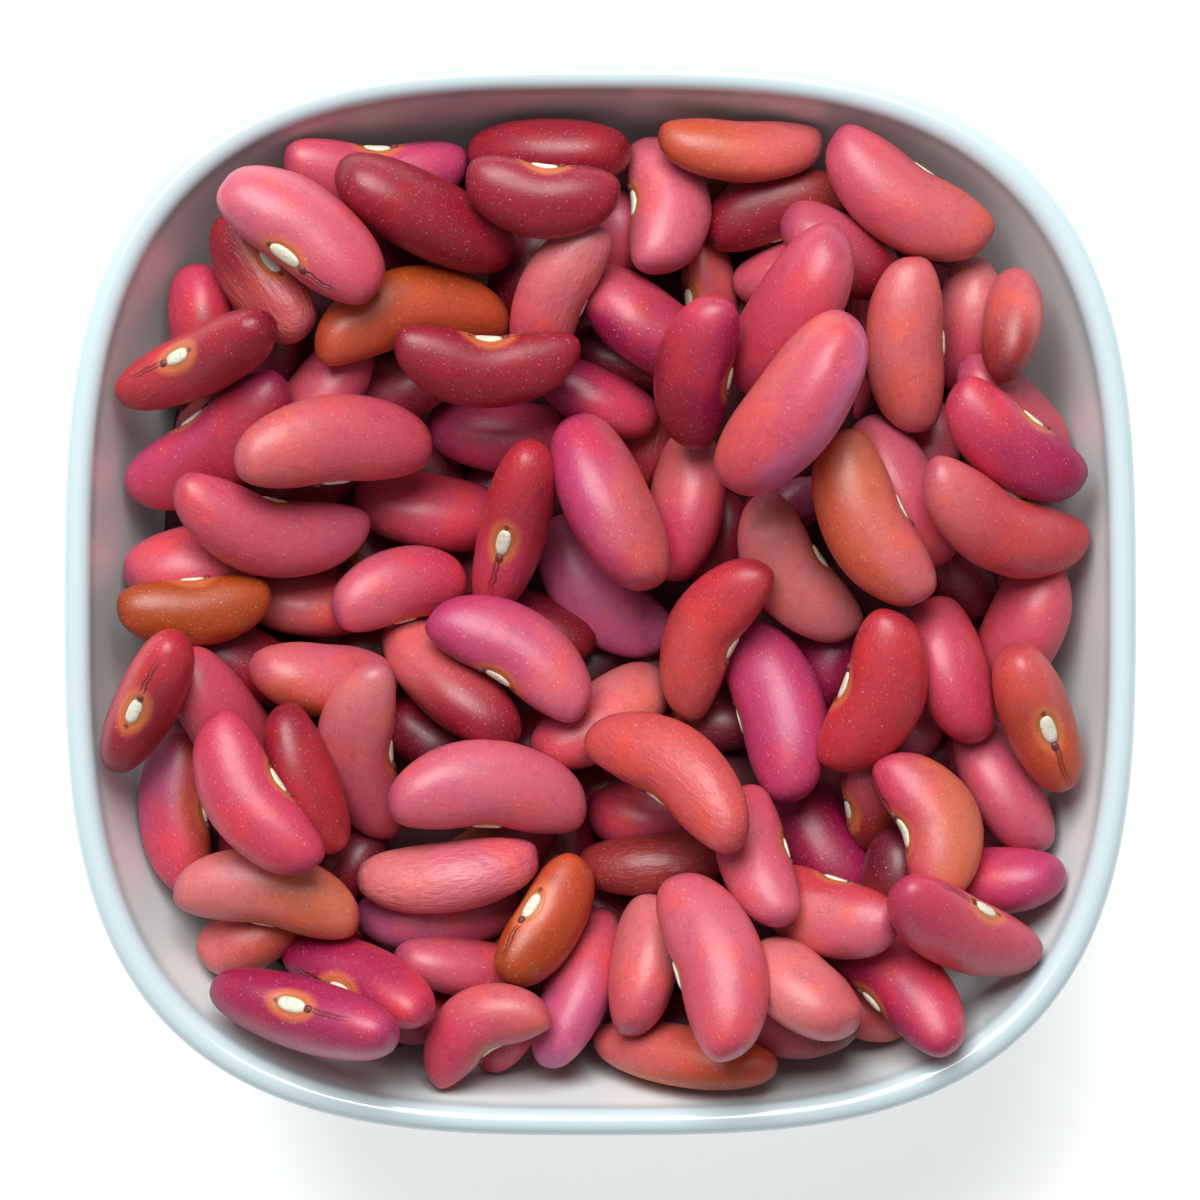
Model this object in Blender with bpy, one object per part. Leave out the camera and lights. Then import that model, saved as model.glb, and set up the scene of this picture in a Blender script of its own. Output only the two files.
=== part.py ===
"""Small square-sided porcelain bowl, heaped with dried red kidney beans.

Metres, +Z up. The bowl stands on its foot ring at z = 0 with its middle on the Z axis.
"""

import math
from typing import NamedTuple

import bmesh
import bpy
import numpy as np
from mathutils.bvhtree import BVHTree

# The bowl. Half-widths are measured along X or Y, from the middle to the middle of a side.
BOWL_HEIGHT = 0.044
LIP_INSIDE = 0.0459
LIP_OUTSIDE = 0.0485
RIM_SQUARENESS = 3.2  # exponent of the plan outline at the rim: 2 is a circle, larger is squarer
FOOT_SQUARENESS = 2.4
SEGMENTS = 52

# Height and half-width of the inner wall, from the middle of the floor up to the lip.
INNER_WALL = (
    (0.0056, 0.0000),
    (0.0057, 0.0122),
    (0.0065, 0.0195),
    (0.0088, 0.0264),
    (0.0128, 0.0316),
    (0.0182, 0.0361),
    (0.0252, 0.0402),
    (0.0328, 0.0432),
    (0.0388, 0.0449),
    (0.0426, LIP_INSIDE),
)
# Height and half-width of the outer wall, from the lip down to the foot ring and under it.
OUTER_WALL = (
    (0.0424, LIP_OUTSIDE),
    (0.0375, 0.0477),
    (0.0305, 0.0459),
    (0.0230, 0.0431),
    (0.0155, 0.0392),
    (0.0092, 0.0345),
    (0.0052, 0.0308),
    (0.0030, 0.0290),
    (0.0008, 0.0281),
    (0.0000, 0.0275),
    (0.0000, 0.0248),
    (0.0006, 0.0242),
    (0.0026, 0.0234),
    (0.0030, 0.0120),
    (0.0030, 0.0000),
)

# The heap. The pile under the beans that show is dished like the bowl and domed on top.
PILE_MIDDLE = 0.0260
PILE_SIDE = 0.0340
PILE_SPREAD = 0.0440  # half-width at which the pile has the height of its side
WALL_GAP = 0.0004
CORE_DEPTH = 0.0058  # how far the solid core lies under the mean surface of the heap

# A bean's proportions.
THICKNESS = 0.79  # thickness over width
ARCH = 0.125  # rise of the ends of a fully bent bean, over its length
LONGEST = 19.5
BEAN_SEGMENTS, BEAN_RINGS = 8, 6
FULLNESS = 1.05  # lets beans of few sides fill the outline of round ones

# Settling, in millimetres.
STEPS = 2000
PLAN_GIVE = 0.12  # how readily a bean is pushed aside from its place in plan
EYE_HEIGHT = 494.0  # height from which the beans' places in plan are seen

PRESS_STEPS = 20  # steps in which a bean may be lowered to join what is below it
PRESSED_FACES = 8  # crossing faces that make a joint

# The grid of heights of the heap's top, in millimetres.
CELL = 0.6
SPAN = 51.0


class Bean(NamedTuple):
    """One bean seen from above, in millimetres and degrees from the middle of the bowl.

    turn is the direction of its length, counter-clockwise from +X. Its eye, in the hollow side,
    faces turn + 90 when roll is 0, straight up when roll is 90 and straight down when it is -90.
    """

    x: float
    y: float
    turn: float
    roll: float
    long: float
    wide: float
    bend: float = 0.5


# The beans that show, the lowest first.
BEANS = (
    # Seen only through gaps
    Bean(-6.5, 30.0, 60, -60, 10, 6.5),
    Bean(2.4, 21.6, -15, -60, 11, 5.8),
    Bean(-20.3, 31.2, -30, -60, 11, 6.5),
    Bean(-18.3, 19.2, 10, -60, 11, 6.5),
    Bean(-29.3, 22.6, 80, -60, 12, 6.5),
    Bean(-32.6, -5.2, -30, -60, 14, 7),
    Bean(32.3, 3.0, -70, -60, 11, 6.2),
    Bean(29.2, 13.2, 70, -60, 10, 6.2),
    Bean(10.8, 5.6, 80, -60, 10, 6),
    Bean(20.2, -5.6, 70, -60, 11, 6.4),
    Bean(27.0, -12.4, 35, -60, 10, 6),
    Bean(24.0, -18.8, 100, 20, 9, 6),
    Bean(10.6, -10.8, 0, -60, 10, 6),
    Bean(-15.4, -11.9, -30, -60, 11, 6.5),
    Bean(-22.3, -23.2, 60, -60, 9, 6),
    Bean(-6.2, -12.6, 10, -60, 10, 6),
    Bean(17.6, 9.6, 40, -60, 11, 6.4),
    Bean(-17.2, -37.2, -10, -60, 9, 5.6),
    Bean(1.2, 32.4, 80, -60, 9, 5.8),
    Bean(25.6, -25.4, 80, -60, 9, 6),
    Bean(-12.3, -33.0, -8, -70, 12, 5.4),
    Bean(-8.4, -40.0, 60, -60, 8, 4.6),
    Bean(17.3, -37.8, -5, -60, 11, 6.8),
    Bean(17.0, 29.4, 20, -60, 10, 5.6),
    Bean(22.4, 23.0, 88, 80, 15, 5.2),
    # Low beans
    Bean(-25.6, 18.8, 50, -60, 13, 6.8),
    Bean(-36.5, 25.4, 95, -70, 10.8, 6.2),
    Bean(-30.3, 28.7, -54, 60, 13.5, 7.0),
    Bean(-4.7, 40.5, -1, -80, 15, 6.6, 0.4),
    Bean(15.6, 35.1, 197, -10, 13.4, 7.0),
    Bean(21.8, 31.3, -30, -60, 12, 7.0),
    Bean(37.0, 24.8, 82, -70, 9.8, 5.4),
    Bean(37.6, 17.1, -40, -70, 12.5, 6.2),
    Bean(-0.2, 18.1, -25, -60, 12, 6.0),
    Bean(4.0, 13.6, 75, -60, 8.6, 5.0),
    Bean(-38.4, 3.5, 15, -60, 13, 7.6),
    Bean(-1.9, -34.7, 70, -70, 14.6, 6.4),
    Bean(-33.3, -31.9, 30, -60, 10.6, 6.6),
    Bean(-39.2, -19.8, -85, 15, 15.2, 6.8),
    Bean(24.2, -37.2, -20, -60, 8.6, 5.6),
    Bean(7.3, -41.0, -7, -75, 16.2, 5.8, 0.4),
    Bean(38.0, -2.3, 66, -60, 12.6, 7.6),
    Bean(39.4, -10.5, -68, 85, 14.0, 6.6),
    Bean(37.4, -26.4, 3, -75, 11.2, 6.3),
    Bean(27.0, -33.7, 135, 15, 15.2, 7.5),
    Bean(4.8, -23.7, 5, -70, 14.5, 5.8),
    Bean(0.3, -10.6, 34, -60, 13.5, 7.2),
    Bean(4.1, -19.3, 5, -60, 10.8, 6.8),
    Bean(4.0, 25.0, -37, -60, 14, 7.5),
    # Beans in the middle of the heap
    Bean(-21.5, 39.9, 0, 20, 16.8, 7.4, 0.9),
    Bean(-26.6, 33.0, 144, 45, 17.2, 8.4),
    Bean(-15.6, 34.5, -25, -70, 16.8, 7.6, 0.4),
    Bean(-5.3, 36.3, -7, 14, 14.2, 7.2, 0.8),
    Bean(9.9, 27.4, 97, 40, 10.6, 5.4, 0.2),
    Bean(-37.1, 14.4, 34, 5, 17.8, 8.2, 0.6),
    Bean(-36.5, -0.9, 5, 4, 14.0, 6.6),
    Bean(-25.8, -0.3, -2, -60, 13.0, 6.3),
    Bean(-3.8, 27.2, -115, -15, 14.6, 6.8, 0.7),
    Bean(17.1, 25.6, 57, -60, 15.5, 8.4),
    Bean(33.0, 24.7, 80, -75, 12.2, 6.2),
    Bean(37.0, 13.7, -37, 5, 15.0, 7.4, 0.6),
    Bean(27.2, 9.7, -62, -75, 15.5, 7.4),
    Bean(21.0, -21.6, -60, -10, 13.0, 7.6),
    Bean(-14.5, -28.3, 5, -65, 15.2, 6.8, 0.6),
    Bean(-21.3, -34.2, 158, 62, 14.2, 6.3),
    Bean(18.1, -34.9, -40, -60, 10.6, 7.2),
    Bean(3.9, -32.7, 82, -65, 12.2, 6.4),
    Bean(-33.6, -10.9, -55, -65, 13.5, 7.2),
    Bean(-26.3, -16.3, -70, -70, 14.5, 6.0),
    Bean(-24.5, -7.2, -5, -60, 12.4, 7.0),
    Bean(0.0, 0.7, -48, -5, 16.4, 8.0, 0.8),
    Bean(-17.2, 25.6, 190, -10, 17.6, 7.8, 1.0),
    Bean(-37.5, 22.4, 24, 72, 15.6, 6.3),
    Bean(-29.8, 6.6, -12, 0, 17.6, 7.8, 1.0),
    Bean(5.6, 35.2, 92, 14, 12.6, 8.0, 0.9),
    Bean(12.9, 41.0, -1, -30, 15.4, 6.0, 0.6),
    Bean(27.4, 35.9, -33, -14, 17.4, 8.3, 0.7),
    Bean(8.8, 20.5, -100, 6, 13.2, 7.3),
    Bean(37.0, 7.2, -24, -10, 16.6, 7.8, 0.9),
    Bean(36.2, -16.8, -62, -65, 14.0, 6.8),
    Bean(31.7, -6.3, -74, -65, 13.8, 7.0),
    Bean(24.8, -8.6, 70, 8, 15.4, 8.2, 0.8),
    Bean(-18.2, 0.9, 195, -8, 12.6, 7.2),
    Bean(-13.8, -7.4, -45, -65, 15.2, 7.2),
    Bean(-8.6, 14.8, -5, -65, 14.6, 7.0),
    Bean(-15.2, 8.0, -10, -65, 14.8, 7.4),
    Bean(-29.9, -26.6, 170, -8, 17.4, 7.4, 0.7),
    Bean(-13.7, -24.9, 7, -55, 17.0, 6.6),
    Bean(29.6, -20.4, 110, 18, 14.4, 8.2, 1.2),
    Bean(20.3, -28.5, -17, 0, 12.6, 7.6),
    Bean(-26.3, -37.4, -13, 76, 17.4, 6.8),
    Bean(-10.7, -38.8, 211, 0, 12.8, 6.8, 1.3),
    Bean(-4.9, -29.1, 58, 50, 13.0, 6.7),
    Bean(14.2, -23.3, -75, 0, 12.4, 6.8),
    # Top beans
    Bean(-10.3, 21.3, -2, 22, 17.0, 7.2, 1.0),
    Bean(-24.0, 14.0, 186, -8, 17.4, 8.4, 0.5),
    Bean(17.3, 17.3, 53, -60, 18.6, 8.7),
    Bean(27.8, 22.9, -88, -6, 16.0, 7.5, 0.4),
    Bean(7.6, 8.4, 80, -65, 14.4, 7.2),
    Bean(24.3, 6.9, -63, -6, 17.4, 8.2, 0.7),
    Bean(17.5, 2.4, -55, 12, 15.8, 7.6, 0.8),
    Bean(15.9, -9.9, 105, -12, 17.0, 8.4, 0.5),
    Bean(-21.5, -13.7, -88, 5, 16.0, 7.6, 0.9),
    Bean(-31.2, -17.9, -56, 6, 16.8, 7.8, 0.8),
    Bean(33.4, -30.4, -28, 34, 15.0, 7.3),
    Bean(-41.8, -9.3, 62, 82, 13.8, 6.0),
    Bean(10.4, -32.8, 107, -6, 16.4, 8.6, 0.6),
    Bean(-7.7, -4.8, 148, 24, 17.0, 7.8, 0.8),
    Bean(6.6, -15.8, 144, -6, 16.8, 7.8, 0.9),
    Bean(0.6, 8.8, -65, -65, 17.4, 8.2),
    Bean(-10.0, -17.3, 177, -4, 18.2, 8.6, 0.8),
    Bean(10.0, -3.1, -117, 14, 16.0, 7.2, 0.9),
    Bean(-7.6, 6.7, 75, 82, 15.6, 6.5),
)


def squareness(height):
    """Exponent of the bowl's plan outline at a height."""
    share = np.clip(np.asarray(height) / BOWL_HEIGHT, 0.0, 1.0)
    return FOOT_SQUARENESS + (RIM_SQUARENESS - FOOT_SQUARENESS) * share


def stretch(angle, height):
    """How much further from the middle the outline is at an angle than along X."""
    power = squareness(height)
    return (np.abs(np.cos(angle)) ** power + np.abs(np.sin(angle)) ** power) ** (-1 / power)


def inner_half_width(height):
    """Half-width of the bowl's inner wall at a height."""
    heights, widths = zip(*INNER_WALL)
    return np.interp(height, heights, widths)


def new_object(name, bm, collection, material=None):
    """An object made of a bmesh, in triangles, with its normals facing out."""
    bmesh.ops.recalc_face_normals(bm, faces=bm.faces)
    bmesh.ops.triangulate(bm, faces=bm.faces)
    mesh = bpy.data.meshes.new(name)
    bm.to_mesh(mesh)
    bm.free()
    mesh.shade_smooth()
    if material:
        mesh.materials.append(material)
    made = bpy.data.objects.new(name, mesh)
    collection.objects.link(made)
    return made


def new_material(name, colour, roughness, coat=0.0):
    """A plain Principled material."""
    material = bpy.data.materials.new(name)
    material.use_nodes = True
    shader = material.node_tree.nodes["Principled BSDF"]
    shader.inputs["Base Color"].default_value = (*colour, 1.0)
    shader.inputs["Roughness"].default_value = roughness
    shader.inputs["Metallic"].default_value = 0.0
    shader.inputs["Coat Weight"].default_value = coat
    material.diffuse_color = (*colour, 1.0)
    return material


def make_bowl(collection):
    """The bowl: its wall's section turned about Z, then every ring squared off."""
    lip_radius = (LIP_OUTSIDE - LIP_INSIDE) / 2
    lip_middle = (LIP_OUTSIDE + LIP_INSIDE) / 2
    lip = [
        (
            BOWL_HEIGHT - lip_radius + lip_radius * math.sin(math.radians(angle)),
            lip_middle - lip_radius * math.cos(math.radians(angle)),
        )
        for angle in (22, 56, 90, 124, 158)
    ]
    section = (*INNER_WALL, *lip, *OUTER_WALL)
    bm = bmesh.new()
    points = [bm.verts.new((width, 0.0, height)) for height, width in section]
    edges = [bm.edges.new(pair) for pair in zip(points, points[1:])]
    bmesh.ops.spin(
        bm, geom=points + edges, axis=(0, 0, 1), cent=(0, 0, 0), angle=math.tau, steps=SEGMENTS,
        use_merge=True,
    )
    bmesh.ops.remove_doubles(bm, verts=bm.verts, dist=1e-6)
    for vert in bm.verts:
        if math.hypot(vert.co.x, vert.co.y) > 1e-6:
            angle = math.atan2(vert.co.y, vert.co.x)
            vert.co.xy *= float(stretch(angle, vert.co.z))
    glaze = new_material("glaze", (0.80, 0.86, 0.87), 0.16, coat=0.4)
    return new_object("bowl", bm, collection, glaze)


def bean_form(unit, long, wide, thick, bend):
    """Points of the unit sphere shaped into a bean along X, its hollow side towards +Y.

    The ends are blunt, the whole is arched, and the eye lies in a shallow notch.
    """
    end = np.maximum(1 - unit[:, 0] ** 2, 1e-9)
    blunt = end ** -0.09
    x = unit[:, 0] * long / 2
    y = unit[:, 1] * blunt * wide / 2
    z = unit[:, 2] * blunt * thick / 2
    y = y + bend * ARCH * long * (unit[:, 0] ** 2 - 0.3)
    y = y - bend * 0.09 * wide * np.exp(-((unit[:, 0] / 0.3) ** 2)) * np.clip(unit[:, 1], 0, 1)
    return np.stack([x, y, z], axis=1)


def rotation(turn, pitch, roll):
    """Matrix that rolls about X, lifts the +X end by pitch, then turns about Z."""
    t, p, r = np.radians([turn, pitch, roll])
    rolled = np.array([[1, 0, 0], [0, np.cos(r), -np.sin(r)], [0, np.sin(r), np.cos(r)]])
    pitched = np.array([[np.cos(p), 0, -np.sin(p)], [0, 1, 0], [np.sin(p), 0, np.cos(p)]])
    turned = np.array([[np.cos(t), -np.sin(t), 0], [np.sin(t), np.cos(t), 0], [0, 0, 1]])
    return turned @ pitched @ rolled


def true_width(bean):
    """Width from the hollow side to the back, of a bean that shows bean.wide from above."""
    roll = math.radians(bean.roll)
    return bean.wide / math.hypot(math.cos(roll), THICKNESS * math.sin(roll))


def sphere_points(stations, around):
    """Points spread over the unit sphere, with its poles on X."""
    along = np.cos(np.linspace(0.02, math.pi - 0.02, stations))
    turns = np.linspace(0, math.tau, around, endpoint=False)
    x, angle = (grid.ravel() for grid in np.meshgrid(along, turns))
    radius = np.sqrt(1 - x**2)
    return np.stack([x, radius * np.cos(angle), radius * np.sin(angle)], axis=1)


def pile_height(x, y):
    """Top of the pile of beans that never show, in millimetres."""
    out = np.hypot(x, y) / (1000 * PILE_SPREAD)
    return 1000 * (PILE_MIDDLE - (PILE_MIDDLE - PILE_SIDE) * np.minimum(out, 1.0) ** 2)


def settle(beans):
    """Let the beans sink, each as a row of balls, until they rest on the pile and on each other.

    A bean keeps its turn and roll, stays near its place in plan and tips end over end. Later
    beans start higher. Returns their middles in millimetres and the slopes of their lengths.
    """
    turn, roll = np.radians([(b.turn, b.roll) for b in beans]).T
    place = np.array([(b.x, b.y) for b in beans])
    long = np.array([b.long for b in beans])
    radius = 0.47 * math.sqrt(THICKNESS) * np.array([true_width(b) for b in beans])
    share = np.array((-1.0, -0.5, 0.0, 0.5, 1.0))
    reach = share * (long / 2 - radius)[:, None]
    arch = np.array([b.bend for b in beans])[:, None] * ARCH * long[:, None] * (share**2 * 0.7 - 0.3)
    sideways = arch * np.cos(roll)[:, None]
    across = np.stack([-np.sin(turn), np.cos(turn)], axis=1)
    ahead = np.stack([np.cos(turn), np.sin(turn)], axis=1)
    plan = reach[..., None] * ahead[:, None] + sideways[..., None] * across[:, None]
    rise = arch * np.sin(roll)[:, None]
    steepest = np.minimum(np.sqrt(np.maximum((LONGEST / long) ** 2 - 1, 0.02)), 0.7)

    owner = np.repeat(np.arange(len(beans)), len(share))
    ball_radius, ball_reach = radius[owner], reach.ravel()
    spread = (place[:, None] + plan).reshape(-1, 2)
    first, second = np.triu_indices(len(owner), 1)
    apart = np.hypot(*(spread[first] - spread[second]).T)
    near = (owner[first] != owner[second]) & (apart < ball_radius[first] + ball_radius[second] + 3)
    first, second = first[near], second[near]
    touch = ball_radius[first] + ball_radius[second]
    lever = (reach**2).sum(axis=1) / len(share)

    xy, z = place.copy(), 36.0 + 0.75 * np.arange(len(beans))
    slope = np.zeros(len(beans))
    for step in range(STEPS):
        falling = step < 0.8 * STEPS
        z -= 0.06 if falling else 0.0
        balls = np.empty((len(owner), 3))
        balls[:, :2] = (xy[:, None] + plan).reshape(-1, 2)
        balls[:, 2] = (z[:, None] + rise + reach * slope[:, None]).ravel()
        push = np.zeros_like(balls)
        gap = balls[first] - balls[second]
        distance = np.linalg.norm(gap, axis=1)
        overlap = np.maximum(touch - distance, 0.0)
        shove = gap * (0.5 * overlap / np.maximum(distance, 1e-6))[:, None]
        np.add.at(push, first, shove)
        np.add.at(push, second, -shove)
        under = pile_height(balls[:, 0], balls[:, 1]) + ball_radius - balls[:, 2]
        push[:, 2] += np.maximum(under, 0.0)
        angle, out = np.arctan2(balls[:, 1], balls[:, 0]), np.hypot(balls[:, 0], balls[:, 1])
        level = np.clip(balls[:, 2] / 1000, 0.006, BOWL_HEIGHT)
        wall = 1000 * (inner_half_width(level) - WALL_GAP) * stretch(angle, level) - ball_radius
        inward = np.where(balls[:, 2] < 1000 * BOWL_HEIGHT + 2, np.maximum(out - wall, 0.0), 0.0)
        push[:, 0] -= inward * np.cos(angle)
        push[:, 1] -= inward * np.sin(angle)
        by_bean = push.reshape(len(beans), len(share), 3)
        seen = place * ((EYE_HEIGHT - z) / (EYE_HEIGHT - 1000 * BOWL_HEIGHT))[:, None]
        xy += PLAN_GIVE * by_bean[..., :2].sum(axis=1) + 0.04 * (seen - xy)
        z += 0.30 * by_bean[..., 2].sum(axis=1)
        slope += 0.10 * (by_bean[..., 2] * reach).sum(axis=1) / lever
        slope = np.clip(slope, -steepest, steepest)
    return np.column_stack([xy, z]), slope


def beyond_wall(points):
    """How far the points, in millimetres, reach past the gap inside the bowl's inner wall."""
    angle, out = np.arctan2(points[:, 1], points[:, 0]), np.hypot(points[:, 0], points[:, 1])
    level = points[:, 2] / 1000
    wall = 1000 * (inner_half_width(level) - WALL_GAP) * stretch(angle, level)
    return np.where(level < BOWL_HEIGHT + WALL_GAP, out - wall, -1.0).max()


def bean_points(unit, bean, middle, pitch, long):
    """Points of the unit sphere as they lie on the bean, in millimetres."""
    wide = true_width(bean)
    shape = bean_form(unit, long, wide, wide * THICKNESS, bean.bend)
    return shape @ rotation(bean.turn, pitch, bean.roll).T + middle


def clear_wall(unit, bean, middle, pitch, long):
    """Move the bean's middle towards the middle of the bowl until it clears the wall."""
    for _ in range(3):
        past = max(beyond_wall(bean_points(unit, bean, middle, pitch, long)), 0.0)
        middle[:2] -= past * middle[:2] / math.hypot(*middle[:2])


def lay():
    """All the beans that show, as (bean, middle, pitch, length), and the heap's heights."""
    middles, slopes = settle(BEANS)
    laid = [
        (bean, middle, math.degrees(math.atan(slope)), bean.long * math.hypot(1, slope))
        for bean, middle, slope in zip(BEANS, middles, slopes)
    ]
    side = np.arange(-SPAN + CELL / 2, SPAN, CELL)
    grid = pile_height(*np.meshgrid(side, side, indexing="ij"))
    unit = sphere_points(56, 48)
    for bean, middle, pitch, long in laid:
        clear_wall(unit, bean, middle, pitch, long)
        points = bean_points(unit, bean, middle, pitch, long)
        cell = np.clip(((points[:, :2] + SPAN) / CELL).astype(int), 0, len(grid) - 1)
        np.maximum.at(grid, (cell[:, 0], cell[:, 1]), points[:, 2])
    return laid, mean_surface(grid)


def cell_at(x, y):
    """Row and column of the grid's cell that holds a place, in millimetres."""
    last = round(2 * SPAN / CELL) - 1
    return tuple(min(max(int((c + SPAN) / CELL), 0), last) for c in (x, y))


def mean_surface(grid):
    """Heights of the heap averaged over about a bean's length."""
    reach = round(5.0 / CELL)
    mean = grid
    for axis in (0, 1):
        mean = sum(np.roll(mean, step, axis) for step in range(-reach, reach + 1))
        mean = mean / (2 * reach + 1)
    return mean


def make_core(mean, collection):
    """The solid middle of the heap: a ball shaped to the bowl below and to the heap above."""

    def top_at(x, y):
        return mean[cell_at(1000 * x, 1000 * y)] / 1000 - CORE_DEPTH

    bm = bmesh.new()
    bmesh.ops.create_uvsphere(bm, u_segments=40, v_segments=20, radius=1.0)
    for vert in bm.verts:
        angle = math.atan2(vert.co.y, vert.co.x)
        latitude = math.asin(max(-1.0, min(1.0, vert.co.z))) / (math.pi / 2)
        edge_height = 0.0300
        for _ in range(3):
            edge = float((inner_half_width(edge_height) - WALL_GAP) * stretch(angle, edge_height))
            edge_height = top_at(edge * 0.95 * math.cos(angle), edge * 0.95 * math.sin(angle))
            edge_height = min(max(edge_height, 0.024), 0.036)
        if latitude > 0:
            reach = edge * (1 - latitude)
            vert.co.x, vert.co.y = reach * math.cos(angle), reach * math.sin(angle)
            level = top_at(vert.co.x, vert.co.y)
            share = min(1.0, 5 * latitude)
            vert.co.z = edge_height + (level - edge_height) * share
        else:
            floor = INNER_WALL[0][0] + WALL_GAP
            share = 1 + latitude
            vert.co.z = floor + (edge_height - floor) * share**2.2
            half = float(inner_half_width(vert.co.z - WALL_GAP)) - WALL_GAP
            reach = half * float(stretch(angle, vert.co.z)) * (1 if share > 1e-4 else 0)
            vert.co.x, vert.co.y = reach * math.cos(angle), reach * math.sin(angle)
    return new_object("beans", bm, collection)


def press_down(bm, laid_bean, solids):
    """Shape the bean, lowered until it is pressed into what is below it.

    Returns its surface for the beans above, or None where nothing lies below.
    """
    bean, middle, pitch, long = laid_bean
    unit = np.array([(v.co.z, v.co.x * FULLNESS, v.co.y * FULLNESS) for v in bm.verts])
    for _ in range(PRESS_STEPS):
        clear_wall(unit, bean, middle, pitch, long)
        for vert, place in zip(bm.verts, bean_points(unit, bean, middle, pitch, long)):
            vert.co = place / 1000
        surface = BVHTree.FromBMesh(bm)
        if any(len(surface.overlap(solid)) >= PRESSED_FACES for solid in solids):
            return surface
        middle[2] -= 0.15
    return None


def make_beans(collection, pieces):
    """The heap: the core with every bean that shows joined onto it."""
    laid, mean = lay()
    skin = new_material("bean_skin", (0.50, 0.075, 0.075), 0.42, coat=0.15)
    core = make_core(mean, collection)
    core.data.materials.append(skin)
    solids = [BVHTree.FromPolygons(
        [v.co for v in core.data.vertices], [p.vertices for p in core.data.polygons])]
    for number, laid_bean in enumerate(sorted(laid, key=lambda item: item[1][2])):
        middle = laid_bean[1]
        if middle[2] + 1.2 < mean[cell_at(*middle[:2])] - 1000 * CORE_DEPTH:
            continue
        bm = bmesh.new()
        bmesh.ops.create_uvsphere(bm, u_segments=BEAN_SEGMENTS, v_segments=BEAN_RINGS, radius=1.0)
        surface = press_down(bm, laid_bean, solids)
        if surface is None:
            bm.free()
            continue
        solids.append(surface)
        new_object(f"bean_{number:03d}", bm, pieces, skin).display_type = "WIRE"
    join = core.modifiers.new("join", "BOOLEAN")
    join.operation = "UNION"
    join.solver = "EXACT"
    join.operand_type = "COLLECTION"
    join.collection = pieces
    return core


def bake(made, used):
    """Apply the object's modifiers, then remove the collection they used."""
    graph = bpy.context.evaluated_depsgraph_get()
    finished = bpy.data.meshes.new_from_object(made.evaluated_get(graph))
    made.modifiers.clear()
    made.data = finished
    for piece in list(used.objects):
        bpy.data.objects.remove(piece, do_unlink=True)
    bpy.data.collections.remove(used)


def keep_largest(made):
    """Drop any scrap that is not joined to the main body."""
    bm = bmesh.new()
    bm.from_mesh(made.data)
    left = set(bm.verts)
    groups = []
    while left:
        group, newest = set(), {left.pop()}
        while newest:
            group |= newest
            newest = {e.other_vert(v) for v in newest for e in v.link_edges} - group
        left -= group
        groups.append(group)
    groups.sort(key=len)
    for group in groups[:-1]:
        bmesh.ops.delete(bm, geom=list(group), context="VERTS")
    bm.to_mesh(made.data)
    bm.free()


def main():
    for old in list(bpy.data.objects):
        bpy.data.objects.remove(old, do_unlink=True)
    main_collection = bpy.data.collections.new("bowl_of_dried_beans")
    bpy.context.scene.collection.children.link(main_collection)
    pieces = bpy.data.collections.new("bean_pieces")
    bpy.context.scene.collection.children.link(pieces)
    pieces.hide_render = True
    make_bowl(main_collection)
    heap = make_beans(main_collection, pieces)
    bake(heap, pieces)
    keep_largest(heap)


main()
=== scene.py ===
"""Looks of a small square-sided porcelain bowl, heaped with dried red kidney beans.

The bowl's wall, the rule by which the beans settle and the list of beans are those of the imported
model, so every piece keeps the place and size that the model gives it. This file adds the glaze,
the seed coats with their eyes, the beans under the ones that show, the floor, light and camera.
"""

import logging
import math
from dataclasses import dataclass
from enum import Enum
from typing import ClassVar, NamedTuple

import bmesh
import bpy
import numpy as np
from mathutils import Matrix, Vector, noise
from mathutils.bvhtree import BVHTree


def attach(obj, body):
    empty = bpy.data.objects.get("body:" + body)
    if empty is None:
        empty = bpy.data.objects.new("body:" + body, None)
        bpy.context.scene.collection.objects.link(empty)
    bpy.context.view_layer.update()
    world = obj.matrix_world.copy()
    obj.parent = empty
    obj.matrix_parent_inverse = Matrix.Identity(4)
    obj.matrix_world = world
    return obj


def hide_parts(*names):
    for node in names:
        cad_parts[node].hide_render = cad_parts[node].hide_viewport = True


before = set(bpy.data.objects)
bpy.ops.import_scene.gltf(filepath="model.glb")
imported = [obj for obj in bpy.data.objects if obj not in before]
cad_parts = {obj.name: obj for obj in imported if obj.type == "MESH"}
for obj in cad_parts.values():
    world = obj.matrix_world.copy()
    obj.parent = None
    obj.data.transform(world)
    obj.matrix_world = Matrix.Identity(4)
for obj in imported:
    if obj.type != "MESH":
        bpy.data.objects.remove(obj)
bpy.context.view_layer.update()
LOG = logging.getLogger("bowl_of_dried_beans")
MM = 0.001


class Hue(Enum):
    """Seed-coat colours in plain light, as 0 to 255 of red, green and blue."""

    WINE = (104, 22, 42)
    CRIMSON = (146, 24, 44)
    CARMINE = (196, 58, 86)
    RED = (190, 48, 60)
    SCARLET = (203, 80, 80)
    CORAL = (204, 95, 98)
    SALMON = (210, 112, 114)
    ROSE = (198, 74, 94)
    BLUSH = (202, 92, 112)
    DUSKY = (192, 80, 102)
    MAUVE = (198, 90, 134)
    FUCHSIA = (184, 56, 102)
    MAGENTA = (150, 14, 72)
    PLUM = (144, 18, 70)
    ORANGE = (190, 76, 44)
    TAN = (204, 106, 78)
    RUST = (164, 66, 16)
    BRICK = (142, 42, 42)

    def linear(self) -> np.ndarray:
        """The colour as linear light, 0 to 1."""
        share = np.array(self.value) / 255
        return np.where(share > 0.04045, ((share + 0.055) / 1.055) ** 2.4, share / 12.92)


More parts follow.
